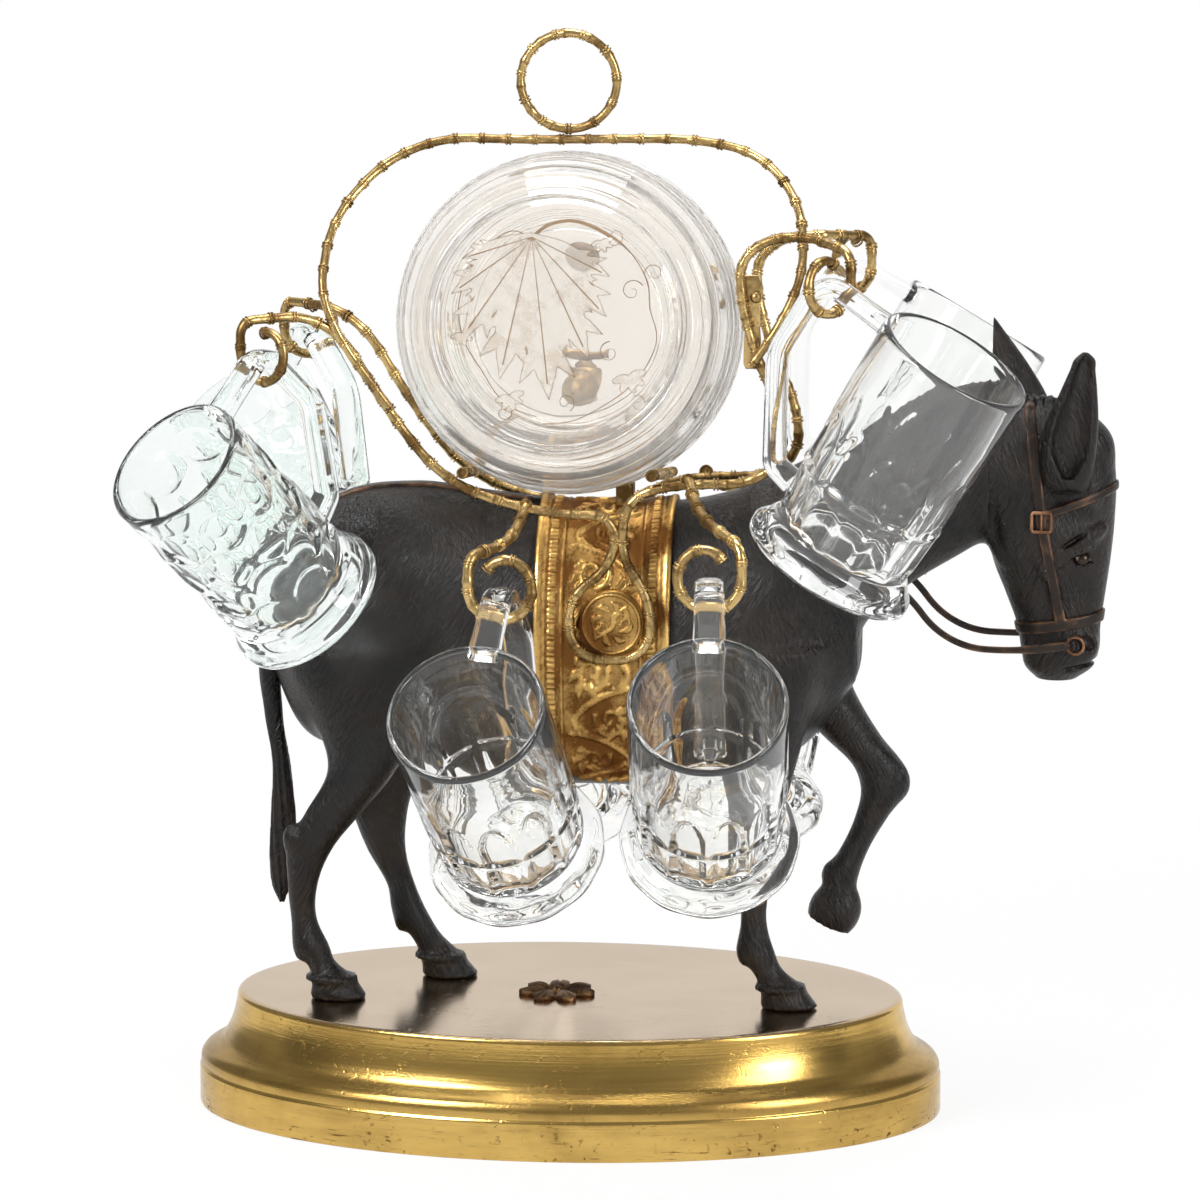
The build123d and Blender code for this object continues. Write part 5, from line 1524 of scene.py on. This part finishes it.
    def tap(self) -> None:
        """Tap with its flange, shell and spout."""
        pipe, faces = self.turned([
            (3.9, 0.02), (4.0, 0.3), (5.6, 0.4), (5.8, 1.2), (5.0, 1.9), (3.6, 2.4), (3.4, 6.0), (4.2, 7.0),
            (3.6, 8.0), (3.4, 12.0), (3.4, 18.0), (4.0, 19.0), (3.6, 22.5), (2.6, 23.8)])
        half_shell = [(4.6, 4.2), (5.0, 4.6), (5.0, 6.1), (4.4, 6.5)]
        shell = self.turned([(r, -z) for r, z in reversed(half_shell)] + half_shell)
        spout = self.turned([(2.9, -1.0), (2.9, 3.0), (2.5, 5.5), (2.4, 8.0), (2.9, 8.8), (2.6, 9.0)])
        parts = [(pipe + (0, self.tap_drop, self.recess), faces), self.upright(shell, self.plug_at),
                 self.upright(spout, 21.0)]
        points, faces = joined(parts)
        made = mesh_piece("tap_turned", self.placed(points), faces, Finish.TAP)
        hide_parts("tap_body")

    def tap_key(self) -> None:
        """Key that turns in the tap, with its crossbar."""
        plug = self.turned([
            (2.6, -7.5), (3.0, -7.2), (3.0, 6.4), (3.2, 6.8), (3.2, 7.4), (2.2, 8.2), (1.8, 9.0)])
        bar = np.array([(-6.9, 10.8), (-4.5, 10.4), (0.0, 10.2), (4.5, 10.4), (6.9, 10.8)])
        depth = self.recess + self.plug_at
        corners = np.stack([bar[:, 0], self.tap_drop - bar[:, 1], np.full(len(bar), depth)], axis=1)
        path = np.stack([np.interp(np.linspace(0, 4, 24), range(5), corners[:, k]) for k in range(3)], axis=1)
        ends = 1 + 0.35 * (np.abs(np.linspace(-1, 1, 24)) > 0.8)
        crossbar = sweep_section(path, rounded_bar(2.6, 2.6, 16, 2.4), (0, 0, 1), ends)
        points, faces = joined([self.upright(plug, self.plug_at, -1), crossbar])
        made = mesh_piece("tap_key_turned", self.placed(points), faces, Finish.TAP)
        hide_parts("tap_key")
        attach(made, "tap_plug")

    def cork(self) -> None:
        """Tapered cork."""
        rows, faces = self.turned([
            (3.9, -2.9), (4.3, 0.1), (4.8, 0.2), (5.0, 1.0), (5.0, 5.0), (4.7, 5.8), (4.2, 6.0)])
        points = self.placed(rows + (0, -self.cork_rise, self.recess))
        made = mesh_piece("barrel_cork_turned", points, faces, Finish.CORK)
        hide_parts("barrel_cork")

    def build(self) -> None:
        """Make the barrel and its fittings."""
        self.glass()
        self.etching()
        self.tap()
        self.tap_key()
        self.cork()


# Rods

class Bamboo(Tree):
    """Geometry Nodes tree that turns a line of edges into a bamboo-pattern rod with ringed joints."""

    INPUTS = (("Rod Radius", "NodeSocketFloat"), ("Joint Spacing", "NodeSocketFloat"),
              ("Joint Swell", "NodeSocketFloat"), ("Ring Thickness", "NodeSocketFloat"),
              ("Ring Gap", "NodeSocketFloat"), ("Roughness", "NodeSocketFloat"), ("Seed", "NodeSocketInt"),
              ("Material", "NodeSocketMaterial"))
    SHARED = {"Joint Swell": 0.16, "Ring Thickness": 0.28 * MM, "Ring Gap": 0.95 * MM, "Roughness": 0.10,
              "Seed": 7}

    def __init__(self) -> None:
        """Build the tree."""
        self.group = bpy.data.node_groups.new("bamboo_rod", "GeometryNodeTree")
        super().__init__(self.group)
        face = self.group.interface
        for way in ("INPUT", "OUTPUT"):
            face.new_socket("Geometry", in_out=way, socket_type="NodeSocketGeometry")
        for name, kind in self.INPUTS:
            face.new_socket(name, in_out="INPUT", socket_type=kind)
        self.entry = self.node("NodeGroupInput").outputs
        line = self.line()
        whole = self.node("GeometryNodeJoinGeometry", None, {0: self.skin(line)})
        self.feed(whole.inputs[0], self.rings(line))
        solid = self.wire(0, "GeometryNodeRealizeInstances", None, {0: whole.outputs[0]})
        dressed = self.wire(0, "GeometryNodeSetMaterial", None,
                            {0: solid, "Material": self.entry["Material"]})
        self.node("NodeGroupOutput", None, {0: dressed})

    def joints(self, sharpness: float) -> Wire:
        """1 at each joint of the rod, falling off on both sides."""
        place = self.wire("Length", "GeometryNodeSplineParameter")
        wave = self.maths("COSINE", place / self.entry["Joint Spacing"] * (2 * math.pi))
        return self.maths("MULTIPLY_ADD", wave, 0.5, 0.5) ** sharpness

    def line(self) -> Wire:
        """The edges as a curve whose radius swells at each joint and wavers slightly."""
        entry = self.entry
        curve = self.wire(0, "GeometryNodeMeshToCurve", None, {0: entry["Geometry"]})
        waver = self.wire(0, "ShaderNodeTexNoise", None, {"Scale": 170.0, "Detail": 1.0})
        swell = self.maths("MULTIPLY_ADD", self.joints(6.0), entry["Joint Swell"], 0.93)
        radius = (swell + (waver - 0.5) * entry["Roughness"]) * entry["Rod Radius"]
        sized = self.wire(0, "GeometryNodeSetCurveRadius", None, {0: curve, "Radius": radius})
        return self.wire(0, "GeometryNodeStoreNamedAttribute", {"data_type": "FLOAT", "domain": "POINT"},
                         {0: sized, "Name": "mark", "Value": self.joints(60.0)})

    def skin(self, line: Wire) -> Wire:
        """Round rod along the line, closed at both ends."""
        section = self.wire(0, "GeometryNodeCurvePrimitiveCircle", None, {"Resolution": 14, "Radius": 1.0})
        made = self.node("GeometryNodeCurveToMesh", None, {0: line, 1: section, "Fill Caps": True})
        if "Scale" in made.inputs:
            self.feed(made.inputs["Scale"], self.wire(0, "GeometryNodeInputRadius"))
        return Wire(self, made.outputs[0])

    def rings(self, line: Wire) -> Wire:
        """Two thin rings beside each joint."""
        entry = self.entry
        around = self.maths("MULTIPLY", entry["Rod Radius"], 1.06)
        circle_line = self.wire(0, "GeometryNodeCurvePrimitiveCircle", None,
                                {"Resolution": 16, "Radius": around})
        section = self.wire(0, "GeometryNodeCurvePrimitiveCircle", None,
                            {"Resolution": 6, "Radius": entry["Ring Thickness"]})
        ring = self.wire(0, "GeometryNodeCurveToMesh", None, {0: circle_line, 1: section})
        pair = self.node("GeometryNodeJoinGeometry")
        for sign in (-0.5, 0.5):
            shift = self.wire(0, "ShaderNodeCombineXYZ", None,
                              {2: self.maths("MULTIPLY", entry["Ring Gap"], sign)})
            moved = self.wire(0, "GeometryNodeTransform", None, {0: ring, "Translation": shift})
            self.feed(pair.inputs[0], moved)
        spots = self.node("GeometryNodeCurveToPoints", {"mode": "LENGTH"},
                          {0: line, "Length": entry["Joint Spacing"]})
        chance = self.node("FunctionNodeRandomValue", {"data_type": "FLOAT"},
                           {2: 0.92, 3: 1.06, "Seed": entry["Seed"]})
        return self.wire(0, "GeometryNodeInstanceOnPoints", None,
                         {0: spots.outputs["Points"], "Instance": pair.outputs[0],
                          "Rotation": spots.outputs["Rotation"], "Scale": chance.outputs[1]})

    def rod(self, name: str, paths: Sequence[Array], radius: float, spacing: float) -> bpy.types.Object:
        """Make brass rods along lines.

        Args:
            name: the piece's name.
            paths: points of each line in millimetres.
            radius: the rods' radius in millimetres.
            spacing: distance between their joints in millimetres.

        Returns:
            One object for all of them.
        """
        starts = np.cumsum([0, *(len(path) for path in paths)])
        edges = [(int(first) + i, int(first) + i + 1) for first, path in zip(starts, paths)
                 for i in range(len(path) - 1)]
        mesh = bpy.data.meshes.new(name + "_line")
        mesh.from_pydata((np.vstack(paths) * MM).tolist(), edges, [])
        source = bpy.data.objects.new(name + "_line", mesh)
        bpy.context.scene.collection.objects.link(source)
        grown = source.modifiers.new("bamboo", "NODES")
        grown.node_group = self.group
        values = {**self.SHARED, "Rod Radius": radius * MM, "Joint Spacing": spacing * MM,
                  "Material": material(Finish.ROD)}
        for socket in self.group.interface.items_tree:
            if socket.name in values:
                grown[socket.identifier] = values[socket.name]
        graph = bpy.context.evaluated_depsgraph_get()
        done = bpy.data.meshes.new_from_object(source.evaluated_get(graph))
        bpy.data.objects.remove(source)
        done.name = name
        return link_mesh(name, done, Finish.ROD)


@dataclass
class Frames:
    """Scroll rods, hooks, arch, ring, ties, post and bracket."""

    bamboo: Bamboo
    offset: float = 30.0
    scroll: Rows = (
        (-46.5, 202.5), (-31.5, 184.0), (-8.0, 176.2), (17.0, 175.2), (14.5, 160.5), (2.6, 152.5),
        (3.4, 134.8), (25.2, 134.8), (25.8, 152.0), (17.0, 164.0), (18.8, 181.0), (33.5, 184.6),
        (52.5, 185.0), (62.5, 191.5), (61.8, 205.0), (55.4, 219.5), (51.0, 233.5), (50.0, 247.0),
        (57.5, 253.4))
    left_neck: Point = (-64.0, 231.0)
    right_neck: Point = (69.0, 254.4)
    ring_radius: float = 8.0
    ring_offset: float = 50.0
    left_ring: Point = (-79.7, 222.9)
    left_yaw: float = 35.0
    right_ring: Point = (76.4, 244.1)
    right_yaw: float = 48.0
    low_radius: float = 8.8
    low_offset: float = 63.0
    low_left: Rows = ((-12.8, 160.7), (-9.0, 178.0), (-11.5, 170.5))
    low_right: Rows = ((44.8, 164.5), (36.0, 186.0), (40.5, 178.5))
    arch: Rows = (
        (-46.5, 205.0), (-60.0, 223.3), (-66.0, 237.0), (-64.5, 255.6), (-51.0, 270.2), (-35.0, 276.4),
        (-14.0, 275.9), (14.0, 276.5), (36.0, 276.7), (54.0, 273.2), (66.0, 260.7), (67.5, 243.4),
        (62.0, 230.6), (54.0, 219.0))
    arch_bend: float = 236.0
    arch_top: float = 276.5
    arch_lean: float = 32.7
    carry_radius: float = 13.4
    tie_angle: float = 32.0
    tie_radius: float = 49.35
    tie_half: float = 34.0
    # Radius and joint spacing of each kind of rod
    scroll_rod: Point = (1.42, 7.2)
    hook_rod: Point = (1.55, 7.0)
    arch_rod: Point = (1.3, 7.4)
    ring_rod: Point = (1.3, 7.2)
    tie_rod: Point = (1.25, 8.0)
    step: float = 0.7
    barrel: Barrel = field(default_factory=Barrel)

    def heading(self, yaw: float, side: int) -> Array:
        """Level direction in which a ring's plane runs."""
        t = math.radians(yaw)
        return np.array([math.cos(t), side * math.sin(t), 0.0])

    def square(self, centre: Point, radius: float, along: Array, turns: Sequence[Point]) -> list[Array]:
        """Corners of the square round which a ring is bent."""
        return [np.array(centre) + along * right * radius + UP * up * radius for right, up in turns]

    def curl(self, centre: Point, radius: float, along: Array, turns: Point,
             tip_first: bool = False) -> Array:
        """Line round a ring, drawn in towards its free end.

        Args:
            centre: middle of the ring.
            radius: the ring's radius.
            along: level direction in its plane.
            turns: start and end in degrees.
            tip_first: whether the free end is the start.

        Returns:
            Points of the line.
        """
        angles = np.radians(np.linspace(*turns, 60))[:, None]
        share = np.linspace(1, 0, 60) if tip_first else np.linspace(0, 1, 60)
        reach = radius * (1 - 0.28 * np.clip((share - 0.72) / 0.28, 0, 1) ** 2)
        return np.array(centre) + reach[:, None] * (np.cos(angles) * along + np.sin(angles) * UP)

    def scroll_path(self, side: int) -> Array:
        """Line of a scroll, from its left ring to its right one."""
        drop = FAR_DROP if side == FAR else 0.0
        left, right = ((x, side * self.ring_offset, z - drop) for x, z in (self.left_ring, self.right_ring))
        outward, inward = self.heading(self.left_yaw, side), self.heading(-self.right_yaw, side)
        radius = self.ring_radius
        start = self.square(left, radius, outward, [(-1, 0), (-1, 1)])
        end = self.square(right, radius, inward, [(1, 1), (1, 0)])
        middle = [(x, side * self.offset, z - drop)
                  for x, z in [self.left_neck, *self.scroll, self.right_neck]]
        return even(np.vstack([self.curl(left, radius, outward, (78, -180), tip_first=True),
                               round_path([*start, *middle, *end]),
                               self.curl(right, radius, inward, (0, -282))]), self.step)

    def hook_path(self, side: int, spot: Rows, mirror: int) -> Array:
        """Line of a lower hook."""
        drop = FAR_DROP if side == FAR else 0.0
        (x, z), start, neck = spot
        centre = (x, side * self.low_offset, z - drop)
        head = [(start[0], side * (self.offset + 0.4), start[1] - drop),
                (neck[0], side * (self.offset + 16), neck[1] - drop)]
        along = self.heading(0, side)
        down = self.square(centre, self.low_radius, along, [(-mirror, 1), (-mirror, 0)])
        ring = self.curl(centre, self.low_radius, mirror * along, (180, 480))
        return even(np.vstack([round_path([*head, *down]), ring]), self.step)

    def arch_point(self, x: float, z: float) -> tuple[float, float, float]:
        """Point of the arch."""
        share = max(z - self.arch_bend, 0.0) / (self.arch_top - self.arch_bend)
        return x, self.arch_lean * (share - 1), z

    def tie_path(self, angle: float) -> Array:
        """Straight tie under the barrel."""
        t, reach = math.radians(angle), self.tie_radius
        local = [(reach * math.sin(t), reach * math.cos(t), z) for z in (-self.tie_half, self.tie_half)]
        return even(self.barrel.placed(np.array(local)), self.step)

    def post(self) -> None:
        """Bevelled post under the barrel."""
        path = even(np.array([(15.9, 0, 172.6), (15.9, 0, 179.5)]), 0.5)
        bar = sweep_section(path, rounded_bar(5.0, 8.0, 28, 7), (1, 0, 0))
        made = mesh_piece("support_post", *bar, Finish.ROD)
        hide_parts("support_bar")

    def bracket(self) -> None:
        """Upright plate beside the barrel, narrower in its middle and rounded at its ends."""
        x, y, middle, half = 53.6, -27.85, 230.0, 13.0
        z = np.linspace(middle - half, middle + half, 60)
        path = np.stack([np.full(60, x), np.full(60, y), z], axis=1)
        waist = 0.16 * np.exp(-((z - middle) / 5.0) ** 2)
        ends = 0.25 * np.clip(np.abs(z - middle) - 11.6, 0, 1.4) / 1.4
        plate = sweep_section(path, rounded_bar(5.0, 1.4, 28, 5), (1, 0, 0), 1 - waist - ends)
        made = mesh_piece("side_bracket_plate", *plate, Finish.ROD)
        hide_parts("side_bracket")

    def screw(self) -> None:
        """Domed head of the bracket's screw."""
        dome = [(0.0, -0.2), (1.55, -0.2), (1.6, 0.5), (1.45, 1.0), (1.0, 1.4), (0.5, 1.58), (0.0, 1.6)]
        points, faces = lathe(dome, 28)
        u, v, out = points.T
        placed = np.stack([54.6 + u, -28.55 - out, 237.0 + v], axis=1)
        made = mesh_piece("bracket_screw_head", placed, faces, Finish.ROD)
        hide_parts("bracket_screw")

    def build(self) -> None:
        """Make every rod and bar."""
        for side, name in SIDES:
            made = self.bamboo.rod(name + "_scroll_rod", [self.scroll_path(side)], *self.scroll_rod)
            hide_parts(name + "_scroll")
        hooks = [self.hook_path(side, spot, mirror) for side in (NEAR, FAR)
                 for spot, mirror in ((self.low_left, 1), (self.low_right, -1))]
        made = self.bamboo.rod("lower_hook_rods", hooks, *self.hook_rod)
        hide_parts("lower_hooks")
        arch = round_path([self.arch_point(x, z) for x, z in self.arch])
        made = self.bamboo.rod("carrying_arch_rod", [arch], *self.arch_rod)
        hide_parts("carrying_arch")
        turns = np.radians(np.linspace(-90.0, 269.0, 180))
        ring = np.stack([np.cos(turns), 0 * turns, np.sin(turns)], axis=1) * self.carry_radius
        ring += UP * (self.arch_top + self.carry_radius + 2.6)
        made = self.bamboo.rod("carrying_ring_rod", [ring], *self.ring_rod)
        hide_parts("carrying_ring")
        for angle, name in ((-self.tie_angle, "left_tie"), (self.tie_angle, "right_tie")):
            made = self.bamboo.rod(name + "_rod", [self.tie_path(angle)], *self.tie_rod)
            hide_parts(name)
        self.post()
        self.bracket()
        self.screw()


# Mugs

@dataclass(frozen=True)
class Hanging:
    """Where and how the mugs of a near and far pair hang: the near hinge, and the axis's turn and rise."""

    name: str
    tankard: bool
    hinge: Point
    yaw: float
    rise: float


def repeats(turn: Array, count: int, shift: float = 0.0) -> Array:
    """Place from -0.5 to 0.5 in each of a number of cells round an axis."""
    return (turn * count / (2 * math.pi) + shift) % 1.0 - 0.5


def panelled(turn: Array, z: Array) -> Array:
    """Outer radius of a mug with arched flutes above rounded panels and a scalloped foot."""
    count = 12
    cell = repeats(turn, count)
    plain = np.interp(z, [0, 2.2, 5.0, 9.0, 14.0, 26.0, 44.0, 71.0],
                      [25.0, 25.0, 22.6, 20.2, 21.0, 21.6, 21.8, 22.0])
    arch = 45.0 - 60.0 * cell ** 2
    flute = (np.clip((arch - z) / 2.5, 0, 1) * np.clip((z - 25.5) / 2.0, 0, 1)
             * np.clip(1 - (cell / 0.44) ** 4, 0, 1))
    panel = (np.clip((25.0 - z) / 2.0, 0, 1) * np.clip((z - 9.5) / 2.0, 0, 1)
             * np.clip(1 - (cell / 0.42) ** 6, 0, 1))
    scallop = np.clip((6.5 - z) / 4.0, 0, 1) * 0.175 * (np.cos(turn * count) - 1)
    return plain - 0.75 * flute - 1.25 * panel * (0.6 + 0.4 * np.cos(cell * math.pi)) + scallop


def thumbprints(turn: Array, z: Array) -> Array:
    """Outer radius of a tankard with staggered rows of oval dimples."""
    count, radius = 9, 20.3
    plain = np.interp(z, [0, 2.2, 5.0, 9.0, 12.0, 66.0], [23.0, 23.0, 21.4, 20.0, radius, radius])
    depth = np.zeros(np.broadcast(turn, z).shape)
    for row in range(4):
        across = repeats(turn, count, 0.5 * (row % 2)) * 2 * math.pi * radius / count
        reach = np.hypot(across / 6.4, (z - 16.5 - 11.8 * row) / 6.6)
        depth = np.maximum(depth, np.sqrt(np.clip(1 - reach ** 2, 0, 1)))
    return plain - 1.05 * depth


@dataclass
class Mug:
    """Pressed glass mug with a strap handle."""

    name: str
    height: float
    rim: float
    finish: Finish
    pattern: Callable[[Array, Array], Array]
    segments: int = 144
    wall: float = 2.4

    def eye(self) -> tuple[float, float]:
        """Where the hook's wire lies, out from the axis and up."""
        return self.rim + 15.0, self.height - 11.0

    def bowl(self) -> Skin:
        """Bowl as one closed skin: inside, rim, outside and foot."""
        h, r, w = self.height, self.rim, self.wall
        low = r - 1.9 * w
        inner = [(0.0, 6.9), (low * 0.45, 6.95), (low * 0.8, 7.3), (low * 0.94, 8.2), (low, 10.2),
                 (low + 0.5, 14.0), (r - w - 0.2, h * 0.45), (r - w + 0.1, h * 0.75),
                 (r - w + 0.3, h - 2.0), (r - w + 0.55, h - 0.7)]
        lip = [(r - 1.5, h - 0.1), (r - 0.9, h), (r - 0.35, h - 0.25), (r, h - 0.9)]
        patterned = [(r, z) for z in (*np.linspace(h - 2.0, 3.0, 110), 2.0, 1.2, 0.5)]
        foot = self.pattern(np.zeros(1), np.zeros(1))[0]
        under = [(foot - 0.9, 0.05), (foot - 2.2, 0.0), (foot - 3.6, 0.5), (r - 5.5, 1.6), (r - 11.0, 2.2)]
        rows = inner + lip + patterned + under + [(0.0, 2.4)]
        radii = np.array([[radius] * self.segments for radius, _ in rows[1:-1]])
        first = len(inner) + len(lip) - 1
        for i, (_, z) in enumerate(patterned, first):
            radii[i] = self.pattern(circle(self.segments), np.full(self.segments, z))
        return lathe(rows, self.segments, 1.0, radii)

    def strap(self) -> Skin:
        """Handle from under the rim, round the eye and back near the foot."""
        x, z = self.eye()
        bend = 6.75
        root = self.rim - 1.5
        corners = [(root, 0, z + bend), (x + bend, 0, z + bend), (x + bend, 0, z - 18.0),
                   (self.rim + 6.0, 0, 15.0), (root, 0, 14.0)]
        path = round_path(corners, [bend, 13.0, 4.0], 0.8)
        along = np.linspace(0, 1, len(path))
        width = 1 + 0.10 * np.exp(-(along / 0.06) ** 2) + 0.12 * np.exp(-((along - 1) / 0.06) ** 2)
        return sweep_section(path, rounded_bar(8.4, 5.4, 28, 3.0), (0, 1, 0), width)

    def mesh(self) -> bpy.types.Mesh:
        """Bowl and handle joined into one skin, in the mug's own frame."""
        bowl = mesh_piece("bowl", *self.bowl(), self.finish)
        strap = mesh_piece("strap", *self.strap(), self.finish)
        return fused(self.name, bowl, strap)


@dataclass
class Service:
    """All eight mugs on their hooks."""

    plain: Mug = field(default_factory=lambda: Mug("mug_mesh", 71.0, 22.0, Finish.GLASS, panelled))
    tankard: Mug = field(
        default_factory=lambda: Mug("tankard_mesh", 66.0, 20.3, Finish.GREEN_GLASS, thumbprints))
    places: tuple[Hanging, ...] = (
        Hanging("upper_left", True, (-79.7, 50.0, 214.3988), -42.0, 43.1074),
        Hanging("upper_right", False, (76.4, 50.0, 236.4507), 72.0, 58.0),
        Hanging("lower_left", False, (-12.8, 63.0, 151.7383), -10.0, 44.2102),
        Hanging("lower_right", False, (44.8, 63.0, 155.3896), 4.0, 44.2102))

    def placed(self, points: Array, spot: Hanging, side: int, eye: tuple[float, float]) -> Array:
        """Points in millimetres of a mug's own frame where it hangs."""
        yaw, rise = math.radians(spot.yaw), math.radians(spot.rise)
        heading = np.array([math.sin(yaw), side * math.cos(yaw), 0.0])
        mouth = heading * math.cos(rise) + UP * math.sin(rise)
        outward = UP * math.cos(rise) - heading * math.sin(rise)
        x, out, z = spot.hinge
        hinge = (x, side * out, z - (FAR_DROP if side == FAR else 0.0))
        return hinge + (points - (eye[0], 0.0, eye[1])) @ np.stack([outward, np.cross(mouth, outward), mouth])

    def build(self) -> None:
        """Hang each mug as its own piece."""
        meshes = {tankard: mug.mesh() for tankard, mug in ((False, self.plain), (True, self.tankard))}
        for side, flank in SIDES:
            for spot in self.places:
                mug = self.tankard if spot.tankard else self.plain
                mesh = meshes[spot.tankard].copy()
                points = np.empty(len(mesh.vertices) * 3)
                mesh.vertices.foreach_get("co", points)
                placed = self.placed(points.reshape(-1, 3) / MM, spot, side, mug.eye()) * MM
                mesh.vertices.foreach_set("co", placed.ravel())
                mesh.update()
                body = f"{flank}_{spot.name}"
                made = link_mesh(body + "_pressed_mug", mesh, mug.finish, body)
                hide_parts(body + "_mug")
        for mesh in meshes.values():
            bpy.data.meshes.remove(mesh)


# Stage and camera

@dataclass(frozen=True)
class Lamp:
    """Soft rectangular lamp: place and size in millimetres, power in watts."""

    name: str
    place: Point
    size: Point
    power: float


@dataclass
class Stage:
    """White floor and wall, soft lamps, dark cards for the glass to mirror, and the camera."""

    target: Point = (8.7, 0.0, 145.8)
    azimuth: float = 5.5
    elevation: float = 11.0
    distance: float = 2400.0
    lens: float = 256.3
    lamp_target: Point = (0.0, 0.0, 130.0)
    lamps: tuple[Lamp, ...] = (
        Lamp("key", (-700.0, -900.0, 900.0), (420.0, 420.0), 14.0),
        Lamp("fill", (900.0, -700.0, 500.0), (300.0, 700.0), 8.0),
        Lamp("top", (0.0, 100.0, 1200.0), (700.0, 500.0), 11.0))
    half: float = 4600.0
    wall_height: float = 7000.0
    shade: float = 0.82
    shadow_radii: Point = (180.0, 620.0)
    card_shade: float = 0.10
    cards: tuple[tuple[str, float], ...] = (("card_left", -900.0), ("card_right", 860.0))
    ambient: float = 0.30

    def back(self) -> Array:
        """Direction from the target to the camera."""
        az, el = math.radians(self.azimuth), math.radians(self.elevation)
        return np.array([math.sin(az) * math.cos(el), -math.cos(az) * math.cos(el), math.sin(el)])

    def staged(self, name: str, data: bpy.types.ID) -> bpy.types.Object:
        """Object that belongs to the stage and not to the stand."""
        made = bpy.data.objects.new(name, data)
        bpy.context.scene.collection.objects.link(made)
        return made

    def aim(self, made: bpy.types.Object, place: Point, target: Point) -> None:
        """Put an object somewhere in millimetres, turned to face a point."""
        ahead = Vector([b - a for a, b in zip(place, target)])
        made.location = [v * MM for v in place]
        made.rotation_euler = ahead.to_track_quat("-Z", "Y").to_euler()

    def light(self, lamp: Lamp) -> None:
        """Area lamp that faces the object."""
        data = bpy.data.lights.new(lamp.name, "AREA")
        data.shape = "RECTANGLE"
        data.size, data.size_y = (side * MM for side in lamp.size)
        data.energy = lamp.power
        self.aim(self.staged(lamp.name, data), lamp.place, self.lamp_target)

    def camera(self) -> None:
        """Long lens at the photo's angle."""
        data = bpy.data.cameras.new("camera")
        data.lens = self.lens
        data.sensor_width = 36.0
        data.clip_start, data.clip_end = 0.1, 20.0
        made = self.staged("camera", data)
        self.aim(made, tuple(np.array(self.target) + self.back() * self.distance), self.target)
        bpy.context.scene.camera = made

    def white(self, name: str, keep_shadow: bool) -> bpy.types.Material:
        """Pure white where it is seen, mirrored or seen through glass; pale and matt for everything else."""
        paint = Paint(name)
        paint.set(Base_Color=(self.shade,) * 3, Roughness=0.9, Specular_IOR_Level=0.1)
        path = paint.node("ShaderNodeLightPath").outputs
        seen = Wire(paint, path["Is Camera Ray"]) + path["Is Glossy Ray"] + path["Is Transmission Ray"]
        glow = paint.wire(0, "ShaderNodeEmission", None, {"Color": (1, 1, 1), "Strength": 1.0})
        share = paint.step(paint.reach(), *self.shadow_radii) * 0.12 + 0.88 if keep_shadow else 1.0
        mixed = paint.wire(0, "ShaderNodeMixShader", None,
                           {0: seen.clamped() * share, 1: paint.shader.outputs[0], 2: glow})
        paint.feed(paint.output.inputs[0], mixed)
        return paint.material

    def plane(self, name: str, corners: Sequence[Point], dress: bpy.types.Material,
              seen: bool = True) -> None:
        """Flat card through four corners in millimetres, which the camera may be kept from seeing."""
        mesh = bpy.data.meshes.new(name)
        mesh.from_pydata([[v * MM for v in corner] for corner in corners], [], [(0, 1, 2, 3)])
        mesh.materials.append(dress)
        self.staged(name, mesh).visible_camera = seen

    def world(self) -> None:
        """Even pale surroundings, white where they are seen, shown without a film look."""
        scene = bpy.context.scene
        scene.view_settings.view_transform = "Standard"
        scene.world = bpy.data.worlds.new("surroundings")
        scene.world.use_nodes = True
        tree = Tree(scene.world.node_tree)
        path = tree.node("ShaderNodeLightPath").outputs
        seen = tree.maths("MAXIMUM", path["Is Transmission Ray"], path["Is Camera Ray"])
        level = tree.wire(0, "ShaderNodeMapRange", None,
                          {"Value": seen, "To Min": self.ambient, "To Max": 1.0})
        ground = tree.nodes["Background"]
        tree.feed(ground.inputs[0], (1, 1, 1))
        tree.feed(ground.inputs[1], level)

    def build(self) -> None:
        """Set floor, wall, cards, lamps and camera."""
        half, top = self.half, self.wall_height
        self.plane("floor", [(-half, -half, 0), (half, -half, 0), (half, half, 0), (-half, half, 0)],
                   self.white("stage_floor", True))
        self.plane("wall", [(-half, half, -10), (half, half, -10), (half, half, top), (-half, half, top)],
                   self.white("stage_wall", False))
        for lamp in self.lamps:
            self.light(lamp)
        dark = Paint("stage_card")
        dark.set(Base_Color=(self.card_shade,) * 3, Roughness=0.9)
        for name, x in self.cards:
            corners = [(x, -500, 0), (x, -100, 0), (x, -100, 900), (x, -500, 900)]
            self.plane(name, corners, dark.material, False)
        self.camera()
        self.world()


# Plain CAD pieces that keep their form
PLAIN = {"base_board": Finish.BOARD, "hoof_studs": Finish.STEEL}


def main() -> None:
    """Build the visual model, its stage and its camera."""
    logging.basicConfig(level=logging.INFO)
    for node, finish in PLAIN.items():
        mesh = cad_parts[node].data
        mesh.materials.clear()
        mesh.materials.append(material(finish))
    donkey = Donkey()
    Base().build()
    LOG.info("base done")
    donkey.build()
    Harness(donkey).build()
    LOG.info("donkey done")
    Cloth(donkey).build()
    Barrel().build()
    LOG.info("cloth and barrel done")
    Frames(Bamboo()).build()
    LOG.info("rods done")
    Service().build()
    LOG.info("mugs done")
    Stage().build()


if __name__ == "__main__":
    main()
